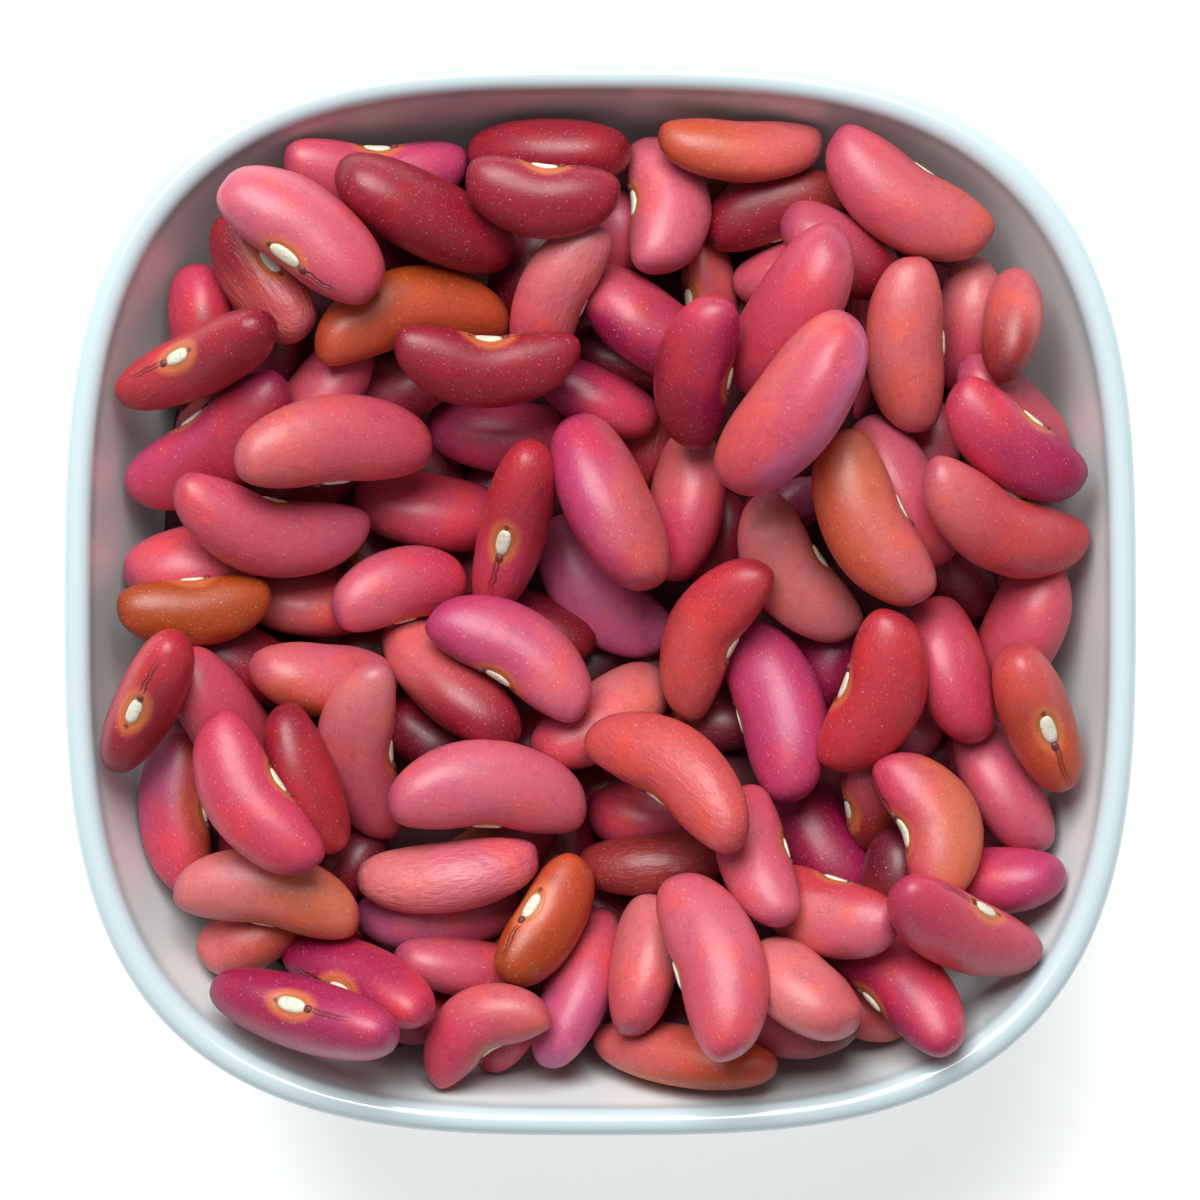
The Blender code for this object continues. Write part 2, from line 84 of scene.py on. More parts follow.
class Bean(NamedTuple):
    """One bean seen from above, in millimetres and degrees from the middle of the bowl.

    turn is the direction of its length, counter-clockwise from +X. Its eye, in the hollow side,
    faces turn + 90 when roll is 0, straight up when roll is 90 and straight down when it is -90.
    near and far colour its two ends, far being the one that turn points to. left and right, where
    given, colour its sides as seen along turn. knob is the end of the eye that has its dark knob.
    """

    x: float
    y: float
    turn: float
    roll: float
    long: float
    wide: float
    bend: float
    near: Hue
    far: Hue
    left: Hue | None = None
    right: Hue | None = None
    knob: int = 1
    wrinkle: float = 0.15


H = Hue
# The beans that show, the lowest first.
BEANS = (
    # Seen only through gaps
    Bean(-6.5, 30.0, 60, -60, 10, 6.5, 0.5, H.CRIMSON, H.WINE),
    Bean(2.4, 21.6, -15, -60, 11, 5.8, 0.5, H.WINE, H.CRIMSON),
    Bean(-20.3, 31.2, -30, -60, 11, 6.5, 0.5, H.CRIMSON, H.WINE),
    Bean(-18.3, 19.2, 10, -60, 11, 6.5, 0.5, H.DUSKY, H.CRIMSON),
    Bean(-29.3, 22.6, 80, -60, 12, 6.5, 0.5, H.WINE, H.CRIMSON),
    Bean(-32.6, -5.2, -30, -60, 14, 7, 0.5, H.WINE, H.CRIMSON),
    Bean(32.3, 3.0, -70, -60, 11, 6.2, 0.5, H.CRIMSON, H.WINE),
    Bean(29.2, 13.2, 70, -60, 10, 6.2, 0.5, H.BLUSH, H.DUSKY),
    Bean(10.8, 5.6, 80, -60, 10, 6, 0.5, H.CRIMSON, H.CRIMSON),
    Bean(20.2, -5.6, 70, -60, 11, 6.4, 0.5, H.PLUM, H.PLUM),
    Bean(27.0, -12.4, 35, -60, 10, 6, 0.5, H.CRIMSON, H.DUSKY),
    Bean(24.0, -18.8, 100, 20, 9, 6, 0.5, H.BRICK, H.DUSKY),
    Bean(10.6, -10.8, 0, -60, 10, 6, 0.5, H.BRICK, H.WINE),
    Bean(-15.4, -11.9, -30, -60, 11, 6.5, 0.5, H.CRIMSON, H.WINE),
    Bean(-22.3, -23.2, 60, -60, 9, 6, 0.5, H.CRIMSON, H.WINE),
    Bean(-6.2, -12.6, 10, -60, 10, 6, 0.5, H.PLUM, H.CRIMSON),
    Bean(17.6, 9.6, 40, -60, 11, 6.4, 0.5, H.PLUM, H.MAUVE),
    Bean(-17.2, -37.2, -10, -60, 9, 5.6, 0.5, H.DUSKY, H.CRIMSON),
    Bean(1.2, 32.4, 80, -60, 9, 5.8, 0.5, H.ROSE, H.DUSKY),
    Bean(25.6, -25.4, 80, -60, 9, 6, 0.5, H.BRICK, H.WINE),
    Bean(-12.3, -33.0, -8, -70, 12, 5.4, 0.5, H.DUSKY, H.ROSE),
    Bean(-8.4, -40.0, 60, -60, 8, 4.6, 0.5, H.ROSE, H.ROSE),
    Bean(17.3, -37.8, -5, -60, 11, 6.8, 0.5, H.DUSKY, H.BRICK),
    Bean(17.0, 29.4, 20, -60, 10, 5.6, 0.5, H.DUSKY, H.ROSE),
    Bean(22.4, 23.0, 88, 80, 15, 5.2, 0.5, H.ROSE, H.BLUSH),
    # Low beans
    Bean(-25.6, 18.8, 50, -60, 13, 6.8, 0.5, H.DUSKY, H.ROSE),
    Bean(-36.5, 25.4, 95, -70, 10.8, 6.2, 0.5, H.CRIMSON, H.CARMINE),
    Bean(-30.3, 28.7, -54, 60, 13.5, 7.0, 0.5, H.CRIMSON, H.CORAL, knob=-1, wrinkle=1),
    Bean(-4.7, 40.5, -1, -80, 15, 6.6, 0.4, H.CRIMSON, H.CRIMSON),
    Bean(15.6, 35.1, 197, -10, 13.4, 7.0, 0.5, H.BRICK, H.CRIMSON),
    Bean(21.8, 31.3, -30, -60, 12, 7.0, 0.5, H.DUSKY, H.CRIMSON),
    Bean(37.0, 24.8, 82, -70, 9.8, 5.4, 0.5, H.BRICK, H.CORAL),
    Bean(37.6, 17.1, -40, -70, 12.5, 6.2, 0.5, H.DUSKY, H.ROSE),
    Bean(-0.2, 18.1, -25, -60, 12, 6.0, 0.5, H.PLUM, H.CARMINE),
    Bean(4.0, 13.6, 75, -60, 8.6, 5.0, 0.5, H.RED, H.CORAL, wrinkle=0.8),
    Bean(-38.4, 3.5, 15, -60, 13, 7.6, 0.5, H.ROSE, H.ROSE),
    Bean(-1.9, -34.7, 70, -70, 14.6, 6.4, 0.5, H.MAUVE, H.ROSE),
    Bean(-33.3, -31.9, 30, -60, 10.6, 6.6, 0.5, H.CORAL, H.ORANGE),
    Bean(-39.2, -19.8, -85, 15, 15.2, 6.8, 0.5, H.MAUVE, H.CARMINE, left=H.ORANGE),
    Bean(24.2, -37.2, -20, -60, 8.6, 5.6, 0.5, H.RED, H.CORAL),
    Bean(7.3, -41.0, -7, -75, 16.2, 5.8, 0.4, H.CORAL, H.ORANGE, right=H.ORANGE),
    Bean(38.0, -2.3, 66, -60, 12.6, 7.6, 0.5, H.ROSE, H.ROSE),
    Bean(39.4, -10.5, -68, 85, 14.0, 6.6, 0.5, H.SCARLET, H.ORANGE),
    Bean(37.4, -26.4, 3, -75, 11.2, 6.3, 0.5, H.CARMINE, H.FUCHSIA),
    Bean(27.0, -33.7, 135, 15, 15.2, 7.5, 0.5, H.CARMINE, H.CARMINE, left=H.MAGENTA),
    Bean(4.8, -23.7, 5, -70, 14.5, 5.8, 0.5, H.BRICK, H.BRICK, wrinkle=0.6),
    Bean(0.3, -10.6, 34, -60, 13.5, 7.2, 0.5, H.ROSE, H.SALMON),
    Bean(4.1, -19.3, 5, -60, 10.8, 6.8, 0.5, H.CARMINE, H.DUSKY),
    Bean(4.0, 25.0, -37, -60, 14, 7.5, 0.5, H.ROSE, H.MAGENTA, right=H.MAGENTA),
    # Beans in the middle of the heap
    Bean(-21.5, 39.9, 0, 20, 16.8, 7.4, 0.9, H.ROSE, H.FUCHSIA),
    Bean(-26.6, 33.0, 144, 45, 17.2, 8.4, 0.5, H.ROSE, H.BLUSH, knob=-1),
    Bean(-15.6, 34.5, -25, -70, 16.8, 7.6, 0.4, H.CRIMSON, H.CRIMSON),
    Bean(-5.3, 36.3, -7, 14, 14.2, 7.2, 0.8, H.CRIMSON, H.CRIMSON),
    Bean(9.9, 27.4, 97, 40, 10.6, 5.4, 0.2, H.CARMINE, H.CORAL),
    Bean(-37.1, 14.4, 34, 5, 17.8, 8.2, 0.6, H.CARMINE, H.CRIMSON, left=H.FUCHSIA),
    Bean(-36.5, -0.9, 5, 4, 14.0, 6.6, 0.5, H.RUST, H.RUST),
    Bean(-25.8, -0.3, -2, -60, 13.0, 6.3, 0.5, H.CORAL, H.ROSE),
    Bean(-3.8, 27.2, -115, -15, 14.6, 6.8, 0.7, H.SALMON, H.ROSE, wrinkle=0.5),
    Bean(17.1, 25.6, 57, -60, 15.5, 8.4, 0.5, H.CARMINE, H.ROSE),
    Bean(33.0, 24.7, 80, -75, 12.2, 6.2, 0.5, H.ROSE, H.SALMON),
    Bean(37.0, 13.7, -37, 5, 15.0, 7.4, 0.6, H.CARMINE, H.MAGENTA),
    Bean(27.2, 9.7, -62, -75, 15.5, 7.4, 0.5, H.BLUSH, H.ROSE),
    Bean(21.0, -21.6, -60, -10, 13.0, 7.6, 0.5, H.PLUM, H.MAGENTA),
    Bean(-14.5, -28.3, 5, -65, 15.2, 6.8, 0.6, H.MAUVE, H.DUSKY),
    Bean(-21.3, -34.2, 158, 62, 14.2, 6.3, 0.5, H.CARMINE, H.MAGENTA, knob=1),
    Bean(18.1, -34.9, -40, -60, 10.6, 7.2, 0.5, H.SALMON, H.CORAL),
    Bean(3.9, -32.7, 82, -65, 12.2, 6.4, 0.5, H.ROSE, H.SALMON),
    Bean(-33.6, -10.9, -55, -65, 13.5, 7.2, 0.5, H.ROSE, H.CARMINE),
    Bean(-26.3, -16.3, -70, -70, 14.5, 6.0, 0.5, H.CRIMSON, H.RED),
    Bean(-24.5, -7.2, -5, -60, 12.4, 7.0, 0.5, H.CORAL, H.BLUSH, right=H.ORANGE),
    Bean(0.0, 0.7, -48, -5, 16.4, 8.0, 0.8, H.MAUVE, H.MAUVE),
    Bean(-17.2, 25.6, 190, -10, 17.6, 7.8, 1.0, H.ORANGE, H.ORANGE, right=H.RUST),
    Bean(-37.5, 22.4, 24, 72, 15.6, 6.3, 0.5, H.RED, H.CRIMSON, knob=-1, wrinkle=0.5),
    Bean(-29.8, 6.6, -12, 0, 17.6, 7.8, 1.0, H.ROSE, H.DUSKY),
    Bean(5.6, 35.2, 92, 14, 12.6, 8.0, 0.9, H.BLUSH, H.BLUSH),
    Bean(12.9, 41.0, -1, -30, 15.4, 6.0, 0.6, H.ORANGE, H.CORAL),
    Bean(27.4, 35.9, -33, -14, 17.4, 8.3, 0.7, H.ROSE, H.CORAL),
    Bean(8.8, 20.5, -100, 6, 13.2, 7.3, 0.5, H.CARMINE, H.CRIMSON, left=H.MAGENTA),
    Bean(37.0, 7.2, -24, -10, 16.6, 7.8, 0.9, H.CORAL, H.RED),
    Bean(36.2, -16.8, -62, -65, 14.0, 6.8, 0.5, H.DUSKY, H.DUSKY),
    Bean(31.7, -6.3, -74, -65, 13.8, 7.0, 0.5, H.ROSE, H.CARMINE),
    Bean(24.8, -8.6, 70, 8, 15.4, 8.2, 0.8, H.RED, H.RED),
    Bean(-18.2, 0.9, 195, -8, 12.6, 7.2, 0.5, H.CARMINE, H.BLUSH),
    Bean(-13.8, -7.4, -45, -65, 15.2, 7.2, 0.5, H.CORAL, H.CRIMSON),
    Bean(-8.6, 14.8, -5, -65, 14.6, 7.0, 0.5, H.FUCHSIA, H.CARMINE),
    Bean(-15.2, 8.0, -10, -65, 14.8, 7.4, 0.5, H.ROSE, H.CARMINE),
    Bean(-29.9, -26.6, 170, -8, 17.4, 7.4, 0.7, H.TAN, H.SALMON),
    Bean(-13.7, -24.9, 7, -55, 17.0, 6.6, 0.5, H.SALMON, H.BLUSH, wrinkle=0.9),
    Bean(29.6, -20.4, 110, 18, 14.4, 8.2, 1.2, H.TAN, H.ROSE, left=H.CARMINE, right=H.TAN),
    Bean(20.3, -28.5, -17, 0, 12.6, 7.6, 0.5, H.SALMON, H.BLUSH, left=H.RED),
    Bean(-26.3, -37.4, -13, 76, 17.4, 6.8, 0.5, H.MAGENTA, H.FUCHSIA),
    Bean(-10.7, -38.8, 211, 0, 12.8, 6.8, 1.3, H.CORAL, H.CARMINE),
    Bean(-4.9, -29.1, 58, 50, 13.0, 6.7, 0.5, H.RUST, H.ORANGE, knob=-1),
    Bean(14.2, -23.3, -75, 0, 12.4, 6.8, 0.5, H.ROSE, H.BLUSH),
    # Top beans
    Bean(-10.3, 21.3, -2, 22, 17.0, 7.2, 1.0, H.CRIMSON, H.CRIMSON),
    Bean(-24.0, 14.0, 186, -8, 17.4, 8.4, 0.5, H.ROSE, H.CORAL),
    Bean(17.3, 17.3, 53, -60, 18.6, 8.7, 0.5, H.ROSE, H.ROSE, left=H.CORAL, right=H.MAUVE),
    Bean(27.8, 22.9, -88, -6, 16.0, 7.5, 0.4, H.CORAL, H.CORAL),
    Bean(7.6, 8.4, 80, -65, 14.4, 7.2, 0.5, H.CARMINE, H.CORAL),
    Bean(24.3, 6.9, -63, -6, 17.4, 8.2, 0.7, H.TAN, H.CORAL, right=H.ORANGE),
    Bean(17.5, 2.4, -55, 12, 15.8, 7.6, 0.8, H.SALMON, H.SALMON),
    Bean(15.9, -9.9, 105, -12, 17.0, 8.4, 0.5, H.FUCHSIA, H.FUCHSIA),
    Bean(-21.5, -13.7, -88, 5, 16.0, 7.6, 0.9, H.SALMON, H.DUSKY),
    Bean(-31.2, -17.9, -56, 6, 16.8, 7.8, 0.8, H.CARMINE, H.CARMINE),
    Bean(33.4, -30.4, -28, 34, 15.0, 7.3, 0.5, H.CARMINE, H.ROSE, knob=-1),
    Bean(-41.8, -9.3, 62, 82, 13.8, 6.0, 0.5, H.CRIMSON, H.RED),
    Bean(10.4, -32.8, 107, -6, 16.4, 8.6, 0.6, H.ROSE, H.BLUSH),
    Bean(-7.7, -4.8, 148, 24, 17.0, 7.8, 0.8, H.BLUSH, H.FUCHSIA),
    Bean(6.6, -15.8, 144, -6, 16.8, 7.8, 0.9, H.SCARLET, H.SCARLET, wrinkle=0.5),
    Bean(0.6, 8.8, -65, -65, 17.4, 8.2, 0.5, H.FUCHSIA, H.CORAL, left=H.CORAL, right=H.FUCHSIA),
    Bean(-10.0, -17.3, 177, -4, 18.2, 8.6, 0.8, H.BLUSH, H.BLUSH),
    Bean(10.0, -3.1, -117, 14, 16.0, 7.2, 0.9, H.RED, H.SCARLET),
    Bean(-7.6, 6.7, 75, 82, 15.6, 6.5, 0.5, H.CARMINE, H.RED, knob=-1, wrinkle=0.5),
)
# Small hollows in the coats: place in plan, radius and depth, in millimetres.
DENTS = ((14.5, 6.8, 1.1, 0.35), (21.9, 20.9, 1.2, 0.35), (-18.7, 34.0, 0.9, 0.15))


def smooth(low: float, high: float, value: np.ndarray) -> np.ndarray:
    """0 below low, 1 above high and a smooth rise between."""
    share = np.clip((np.asarray(value) - low) / (high - low), 0.0, 1.0)
    return share * share * (3 - 2 * share)


class Sock:
    """A node's output, or a number, that can be used in an expression."""

    def __init__(self, canvas: "Canvas", socket: bpy.types.NodeSocket) -> None:
        self.canvas = canvas
        self.socket = socket

    def _maths(self, operation: str, first: "Sock | float", second: "Sock | float") -> "Sock":
        """A Math node on two values."""
        return self.canvas.node("ShaderNodeMath", {"operation": operation}, {0: first, 1: second})

    def __add__(self, other: "Sock | float") -> "Sock":
        """self + other."""
        return self._maths("ADD", self, other)

    def __radd__(self, other: float) -> "Sock":
        """other + self."""
        return self._maths("ADD", other, self)

    def __sub__(self, other: "Sock | float") -> "Sock":
        """self - other."""
        return self._maths("SUBTRACT", self, other)

    def __mul__(self, other: "Sock | float") -> "Sock":
        """self * other."""
        return self._maths("MULTIPLY", self, other)

    def __rmul__(self, other: float) -> "Sock":
        """other * self."""
        return self._maths("MULTIPLY", other, self)

    def __truediv__(self, other: "Sock | float") -> "Sock":
        """self / other."""
        return self._maths("DIVIDE", self, other)

    def __abs__(self) -> "Sock":
        """The size of self without its sign."""
        return self._maths("ABSOLUTE", self, 0.0)

    def hypot(self, other: "Sock") -> "Sock":
        """The root of the sum of both squares."""
        return self._maths("SQRT", self * self + other * other, 0.0)


class Canvas:
    """A material with one Principled shader, and the few ways its nodes are made."""

    def __init__(self, name: str, colour: tuple[float, float, float], roughness: float) -> None:
        """Make the material.

        Args:
            name: the material's name.
            colour: plain colour, where no node gives one, and in the viewport.
            roughness: plain roughness, where no node gives one.
        """
        self.material = bpy.data.materials.new(name)
        self.material.use_nodes = True
        self.material.diffuse_color = (*colour, 1.0)
        self.tree = self.material.node_tree
        self.shader = self.tree.nodes["Principled BSDF"]
        self.shader.inputs["Base Color"].default_value = (*colour, 1.0)
        self.shader.inputs["Roughness"].default_value = roughness

    def plug(self, target: bpy.types.NodeSocket, value: object) -> None:
        """Link or set one input."""
        if isinstance(value, Sock):
            self.tree.links.new(value.socket, target)
        elif isinstance(value, tuple) and len(value) == 3 and target.type == "RGBA":
            target.default_value = (*value, 1.0)
        else:
            target.default_value = value

    def node(self, kind: str, settings: dict, inputs: dict, output: int | str = 0) -> Sock:
        """Make a node.

        Args:
            kind: the node's type.
            settings: its own settings, which are set first.
            inputs: values or links, by the inputs' names or numbers.
            output: the output that is wanted.

        Returns:
            The output, ready for an expression.
        """
        made = self.tree.nodes.new(kind)
        for name, value in settings.items():
            setattr(made, name, value)
        for name, value in inputs.items():
            self.plug(made.inputs[name], value)
        return Sock(self, made.outputs[output])

    def attribute(self, name: str, output: str = "Vector") -> Sock:
        """A mesh attribute."""
        return self.node("ShaderNodeAttribute", {"attribute_name": name}, {}, output)

    def parts(self, vector: Sock) -> tuple[Sock, Sock, Sock]:
        """The three numbers of a vector."""
        x = self.node("ShaderNodeSeparateXYZ", {}, {0: vector}, "X")
        made = x.socket.node
        return x, Sock(self, made.outputs["Y"]), Sock(self, made.outputs["Z"])

    def vectors(self, operation: str, first: object, second: object) -> Sock:
        """A Vector Math node."""
        inputs = {0: first, 1: second}
        return self.node("ShaderNodeVectorMath", {"operation": operation}, inputs, "Vector")

    def noise(self, place: Sock, scale: float, detail: float = 2.0, rough: float = 0.5) -> Sock:
        """Cloudy noise, about 0.5."""
        inputs = {"Vector": place, "Scale": scale, "Detail": detail, "Roughness": rough}
        return self.node("ShaderNodeTexNoise", {}, inputs, 0)

    def rise(self, value: Sock, low: float, high: float) -> Sock:
        """0 below low, 1 above high and a smooth rise between, or the reverse where low > high."""
        inputs = {"Value": value, "From Min": low, "From Max": high}
        settings = {"interpolation_type": "SMOOTHSTEP"}
        return self.node("ShaderNodeMapRange", settings, inputs, "Result")

    def mix(self, first: object, second: object, share: object) -> Sock:
        """Two colours mixed."""
        return self.node("ShaderNodeMix", {"data_type": "RGBA"}, {0: share, 6: first, 7: second}, 2)

    def paint(self, **channels: object) -> None:
        """Link or set the shader's own inputs, named with _ for a space."""
        for name, value in channels.items():
            self.plug(self.shader.inputs[name.replace("_", " ")], value)

    def relief(self, height: Sock, distance: float, strength: float = 1.0) -> None:
        """Bump the surface by a height."""
        inputs = {"Height": height, "Distance": distance, "Strength": strength}
        self.paint(Normal=self.node("ShaderNodeBump", {}, inputs, "Normal"))


@dataclass(frozen=True)
class Glaze:
    """White porcelain glaze, cooler where it thickens on the rim and darker there as painted shade, bare
    where the foot ring stands.
    """

    colour: tuple[float, float, float] = (0.84, 0.94, 0.935)
    # Cooler tint of the rim, also darker than the wall as painted shade against the stronger light on the
    # rim.
    rim_colour_with_painted_shade: tuple[float, float, float] = (0.58, 0.71, 0.74)
    bare_colour: tuple[float, float, float] = (0.70, 0.66, 0.58)
    roughness: float = 0.14

    def material(self) -> bpy.types.Material:
        """The finish as a material."""
        canvas = Canvas("glaze", self.colour, self.roughness)
        place = canvas.node("ShaderNodeTexCoord", {}, {}, "Object")
        height = canvas.parts(place)[2]
        bare = canvas.rise(height, 0.0007, 0.0003)
        cloud = canvas.noise(place, 45.0, 3.0)
        deeper = tuple(0.965 * part for part in self.colour)
        tone = canvas.mix(self.colour, deeper, canvas.rise(cloud, 0.35, 0.75))
        # Painted shade: the rim's cooler tint is also darker, which holds down the strong light that falls
        # on it.
        tone = canvas.mix(tone, self.rim_colour_with_painted_shade, canvas.rise(height, 0.0410, 0.0427))
        speck = canvas.rise(canvas.noise(place, 900.0, 1.0), 0.80, 0.86) * 0.25
        tone = canvas.mix(tone, (0.55, 0.53, 0.50), speck)
        canvas.paint(
            Base_Color=canvas.mix(tone, self.bare_colour, bare),
            Roughness=self.roughness + 0.05 * cloud + 0.55 * bare,
            Coat_Weight=0.4,
            Coat_Roughness=0.06,
            IOR=1.5,
        )
        ripple = canvas.noise(place, 70.0, 1.0) + bare * canvas.noise(place, 2500.0, 3.0)
        canvas.relief(ripple, 0.00008, 0.6)
        return canvas.material


@dataclass(frozen=True)
class SeedCoat:
    """Satin seed coat: coloured bean by bean, mottled, dusty, with a ringed eye and creases, and darkened
    as painted shade where shade is below 1.
    """

    name: str = "seed_coat"
    ring: tuple[float, float, float] = (0.50, 0.135, 0.04)
    blush: tuple[float, float, float] = (0.66, 0.15, 0.055)
    pore: tuple[float, float, float] = (0.10, 0.025, 0.015)
    crease: tuple[float, float, float] = (0.14, 0.015, 0.02)
    dust: tuple[float, float, float] = (0.80, 0.55, 0.52)
    # Painted shade: a factor below 1 draws the whole coat darker, for beans that lie deep in the heap.
    shade: float = 1.0

    def material(self) -> bpy.types.Material:
        """The finish as a material.

        It reads three attributes of the beans' mesh: coat, the colour; place, millimetres along,
        towards the eye and across; and odds, which holds a bean's own number, its knob's side
        and how wrinkled it is.
        """
        canvas = Canvas(self.name, (0.5, 0.075, 0.075), 0.42)
        coat = canvas.attribute("coat", "Color")
        place = canvas.attribute("place")
        odds = canvas.attribute("odds")
        along, inwards, across = canvas.parts(place)
        number, side, wrinkled = canvas.parts(odds)
        shift = canvas.node("ShaderNodeCombineXYZ", {}, {0: number * 7.3, 1: number * 3.1, 2: number})
        own = canvas.vectors("ADD", place, shift)

        cloud = canvas.noise(own, 0.22, 1.0, 0.6)
        blotch = canvas.noise(own, 0.75, 3.0, 0.65)
        grain = canvas.noise(own, 5.0, 1.0)
        tone = canvas.mix(coat, canvas.vectors("MULTIPLY", coat, (1.16, 0.95, 0.72)),
                          canvas.rise(cloud, 0.45, 0.75))
        tone = canvas.mix(tone, canvas.vectors("MULTIPLY", coat, (0.80, 0.66, 0.86)),
                          canvas.rise(blotch, 0.48, 0.80) * 0.8)
        tone = canvas.mix(tone, canvas.vectors("MULTIPLY", tone, (0.82, 0.78, 0.80)),
                          canvas.rise(grain, 0.42, 0.72) * 0.55)

        ahead = along * side
        facing = canvas.rise(inwards, 0.4, 1.4)
        halo = (along / 2.0).hypot(across / 1.15)
        line = canvas.rise(halo, 1.0, 0.84) * facing
        glow = canvas.rise(halo, 1.55, 1.0) * facing
        dot = canvas.rise((ahead + 1.7).hypot(across), 0.34, 0.16) * facing
        tone = canvas.mix(tone, self.blush, glow * 0.8)
        tone = canvas.mix(tone, self.ring, line)
        tone = canvas.mix(tone, self.pore, dot * 0.8)
        wobble = (canvas.noise(own, 0.8) - 0.5) * 0.7
        creases = canvas.rise(abs(abs(across + wobble) - 0.17), 0.15, 0.03) * facing
        creases = creases * canvas.rise(ahead, 1.8, 2.6) * canvas.rise(ahead, 6.6, 4.2)
        tone = canvas.mix(tone, self.crease, creases * 0.7)

        dusty = canvas.rise(canvas.noise(own, 2.6, 2.0, 0.7), 0.60, 0.78)
        specks = canvas.rise(canvas.noise(own, 4.5, 2.0), 0.66, 0.74)
        tone = canvas.mix(tone, self.dust, dusty * 0.12 + specks * 0.40)
        # Painted shade: the whole coat darkened by the shade factor.
        if self.shade < 1:
            tone = canvas.vectors("MULTIPLY", tone, (self.shade,) * 3)
        canvas.paint(
            Base_Color=tone,
            Roughness=0.38 + 0.12 * blotch + 0.20 * dusty,
            Coat_Weight=0.22,
            Coat_Roughness=0.36,
        )
        long_folds = canvas.vectors("MULTIPLY", own, (0.35, 1.3, 1.3))
        folds = abs(canvas.noise(long_folds, 1.1, 2.0, 0.55) - 0.5) * 2.0
        height = grain * 0.10 + blotch * 0.35 + folds * wrinkled * 1.6
        height = height - creases * 1.2 - line * 0.4
        canvas.relief(height, 0.00012, 0.75)
        return canvas.material


@dataclass(frozen=True)
class EyePad:
    """The bean's eye: a chalky cream pad, and the small dark knob at one end of it."""

    cream: tuple[float, float, float] = (0.80, 0.76, 0.63)
    grey: tuple[float, float, float] = (0.56, 0.55, 0.42)
    knob: tuple[float, float, float] = (0.15, 0.028, 0.04)

    def material(self) -> bpy.types.Material:
        """The finish as a material. The coat attribute is black on a knob and white on a pad."""
        canvas = Canvas("eye", self.cream, 0.7)
        place = canvas.attribute("place")
        pad = canvas.parts(canvas.attribute("coat", "Vector"))[0]
        mottle = canvas.noise(place, 3.2, 4.0, 0.7)
        tone = canvas.mix(self.cream, self.grey, canvas.rise(mottle, 0.42, 0.72))
        tone = canvas.mix(self.knob, tone, pad)
        canvas.paint(Base_Color=tone, Roughness=0.42 + 0.3 * pad)
        canvas.relief(mottle, 0.0001, 0.7)
        return canvas.material


@dataclass(frozen=True)
class PaintedShadeHeart:
    """Painted shade: a near-black, deep red-brown body at the heap's heart, which shows only as darkness
    between beans.
    """

    # Near black: painted shade for the depths of the heap.
    colour: tuple[float, float, float] = (0.045, 0.008, 0.010)

    def material(self) -> bpy.types.Material:
        """The finish as a material."""
        canvas = Canvas("heart_painted_shade", self.colour, 0.8)
        place = canvas.node("ShaderNodeTexCoord", {}, {}, "Object")
        cloud = canvas.noise(place, 220.0, 3.0)
        lighter = tuple(2.4 * part for part in self.colour)
        canvas.paint(Base_Color=canvas.mix(self.colour, lighter, cloud), Roughness=0.8)
        canvas.relief(cloud, 0.0006)
        return canvas.material


@dataclass(frozen=True)
class PaleGround:
    """Matt white ground, which glows a little so that it stays pale beside the bowl."""

    colour: tuple[float, float, float] = (0.93, 0.93, 0.93)
    glow: float = 0.42

    def material(self) -> bpy.types.Material:
        """The finish as a material."""
        canvas = Canvas("pale_ground", self.colour, 0.9)
        place = canvas.node("ShaderNodeTexCoord", {}, {}, "Object")
        cloud = canvas.noise(place, 6.0, 2.0)
        deeper = tuple(0.985 * part for part in self.colour)
        canvas.paint(
            Base_Color=canvas.mix(self.colour, deeper, cloud),
            Emission_Color=(1.0, 1.0, 1.0),
            Emission_Strength=self.glow,
        )
        canvas.material.cycles.emission_sampling = "NONE"
        return canvas.material


def new_piece(name: str, bm: bmesh.types.BMesh, finish: bpy.types.Material, slot: str) -> bpy.types.Object:
    """Make a finished piece that belongs to the object.

    Args:
        name: the piece's name.
        bm: its mesh, which is used up.
        finish: its material.
        slot: any text, which puts the piece under the object's root, or nothing where it isn't part of the
            object.

    Returns:
        The piece, in the scene and, with a slot, riding with the object.
    """
    bmesh.ops.recalc_face_normals(bm, faces=bm.faces)
    mesh = bpy.data.meshes.new(name)
    bm.to_mesh(mesh)
    bm.free()
    mesh.shade_smooth()
    mesh.materials.append(finish)
    made = bpy.data.objects.new(name, mesh)
    bpy.context.scene.collection.objects.link(made)
    if slot:
        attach(made, "root")
    return made


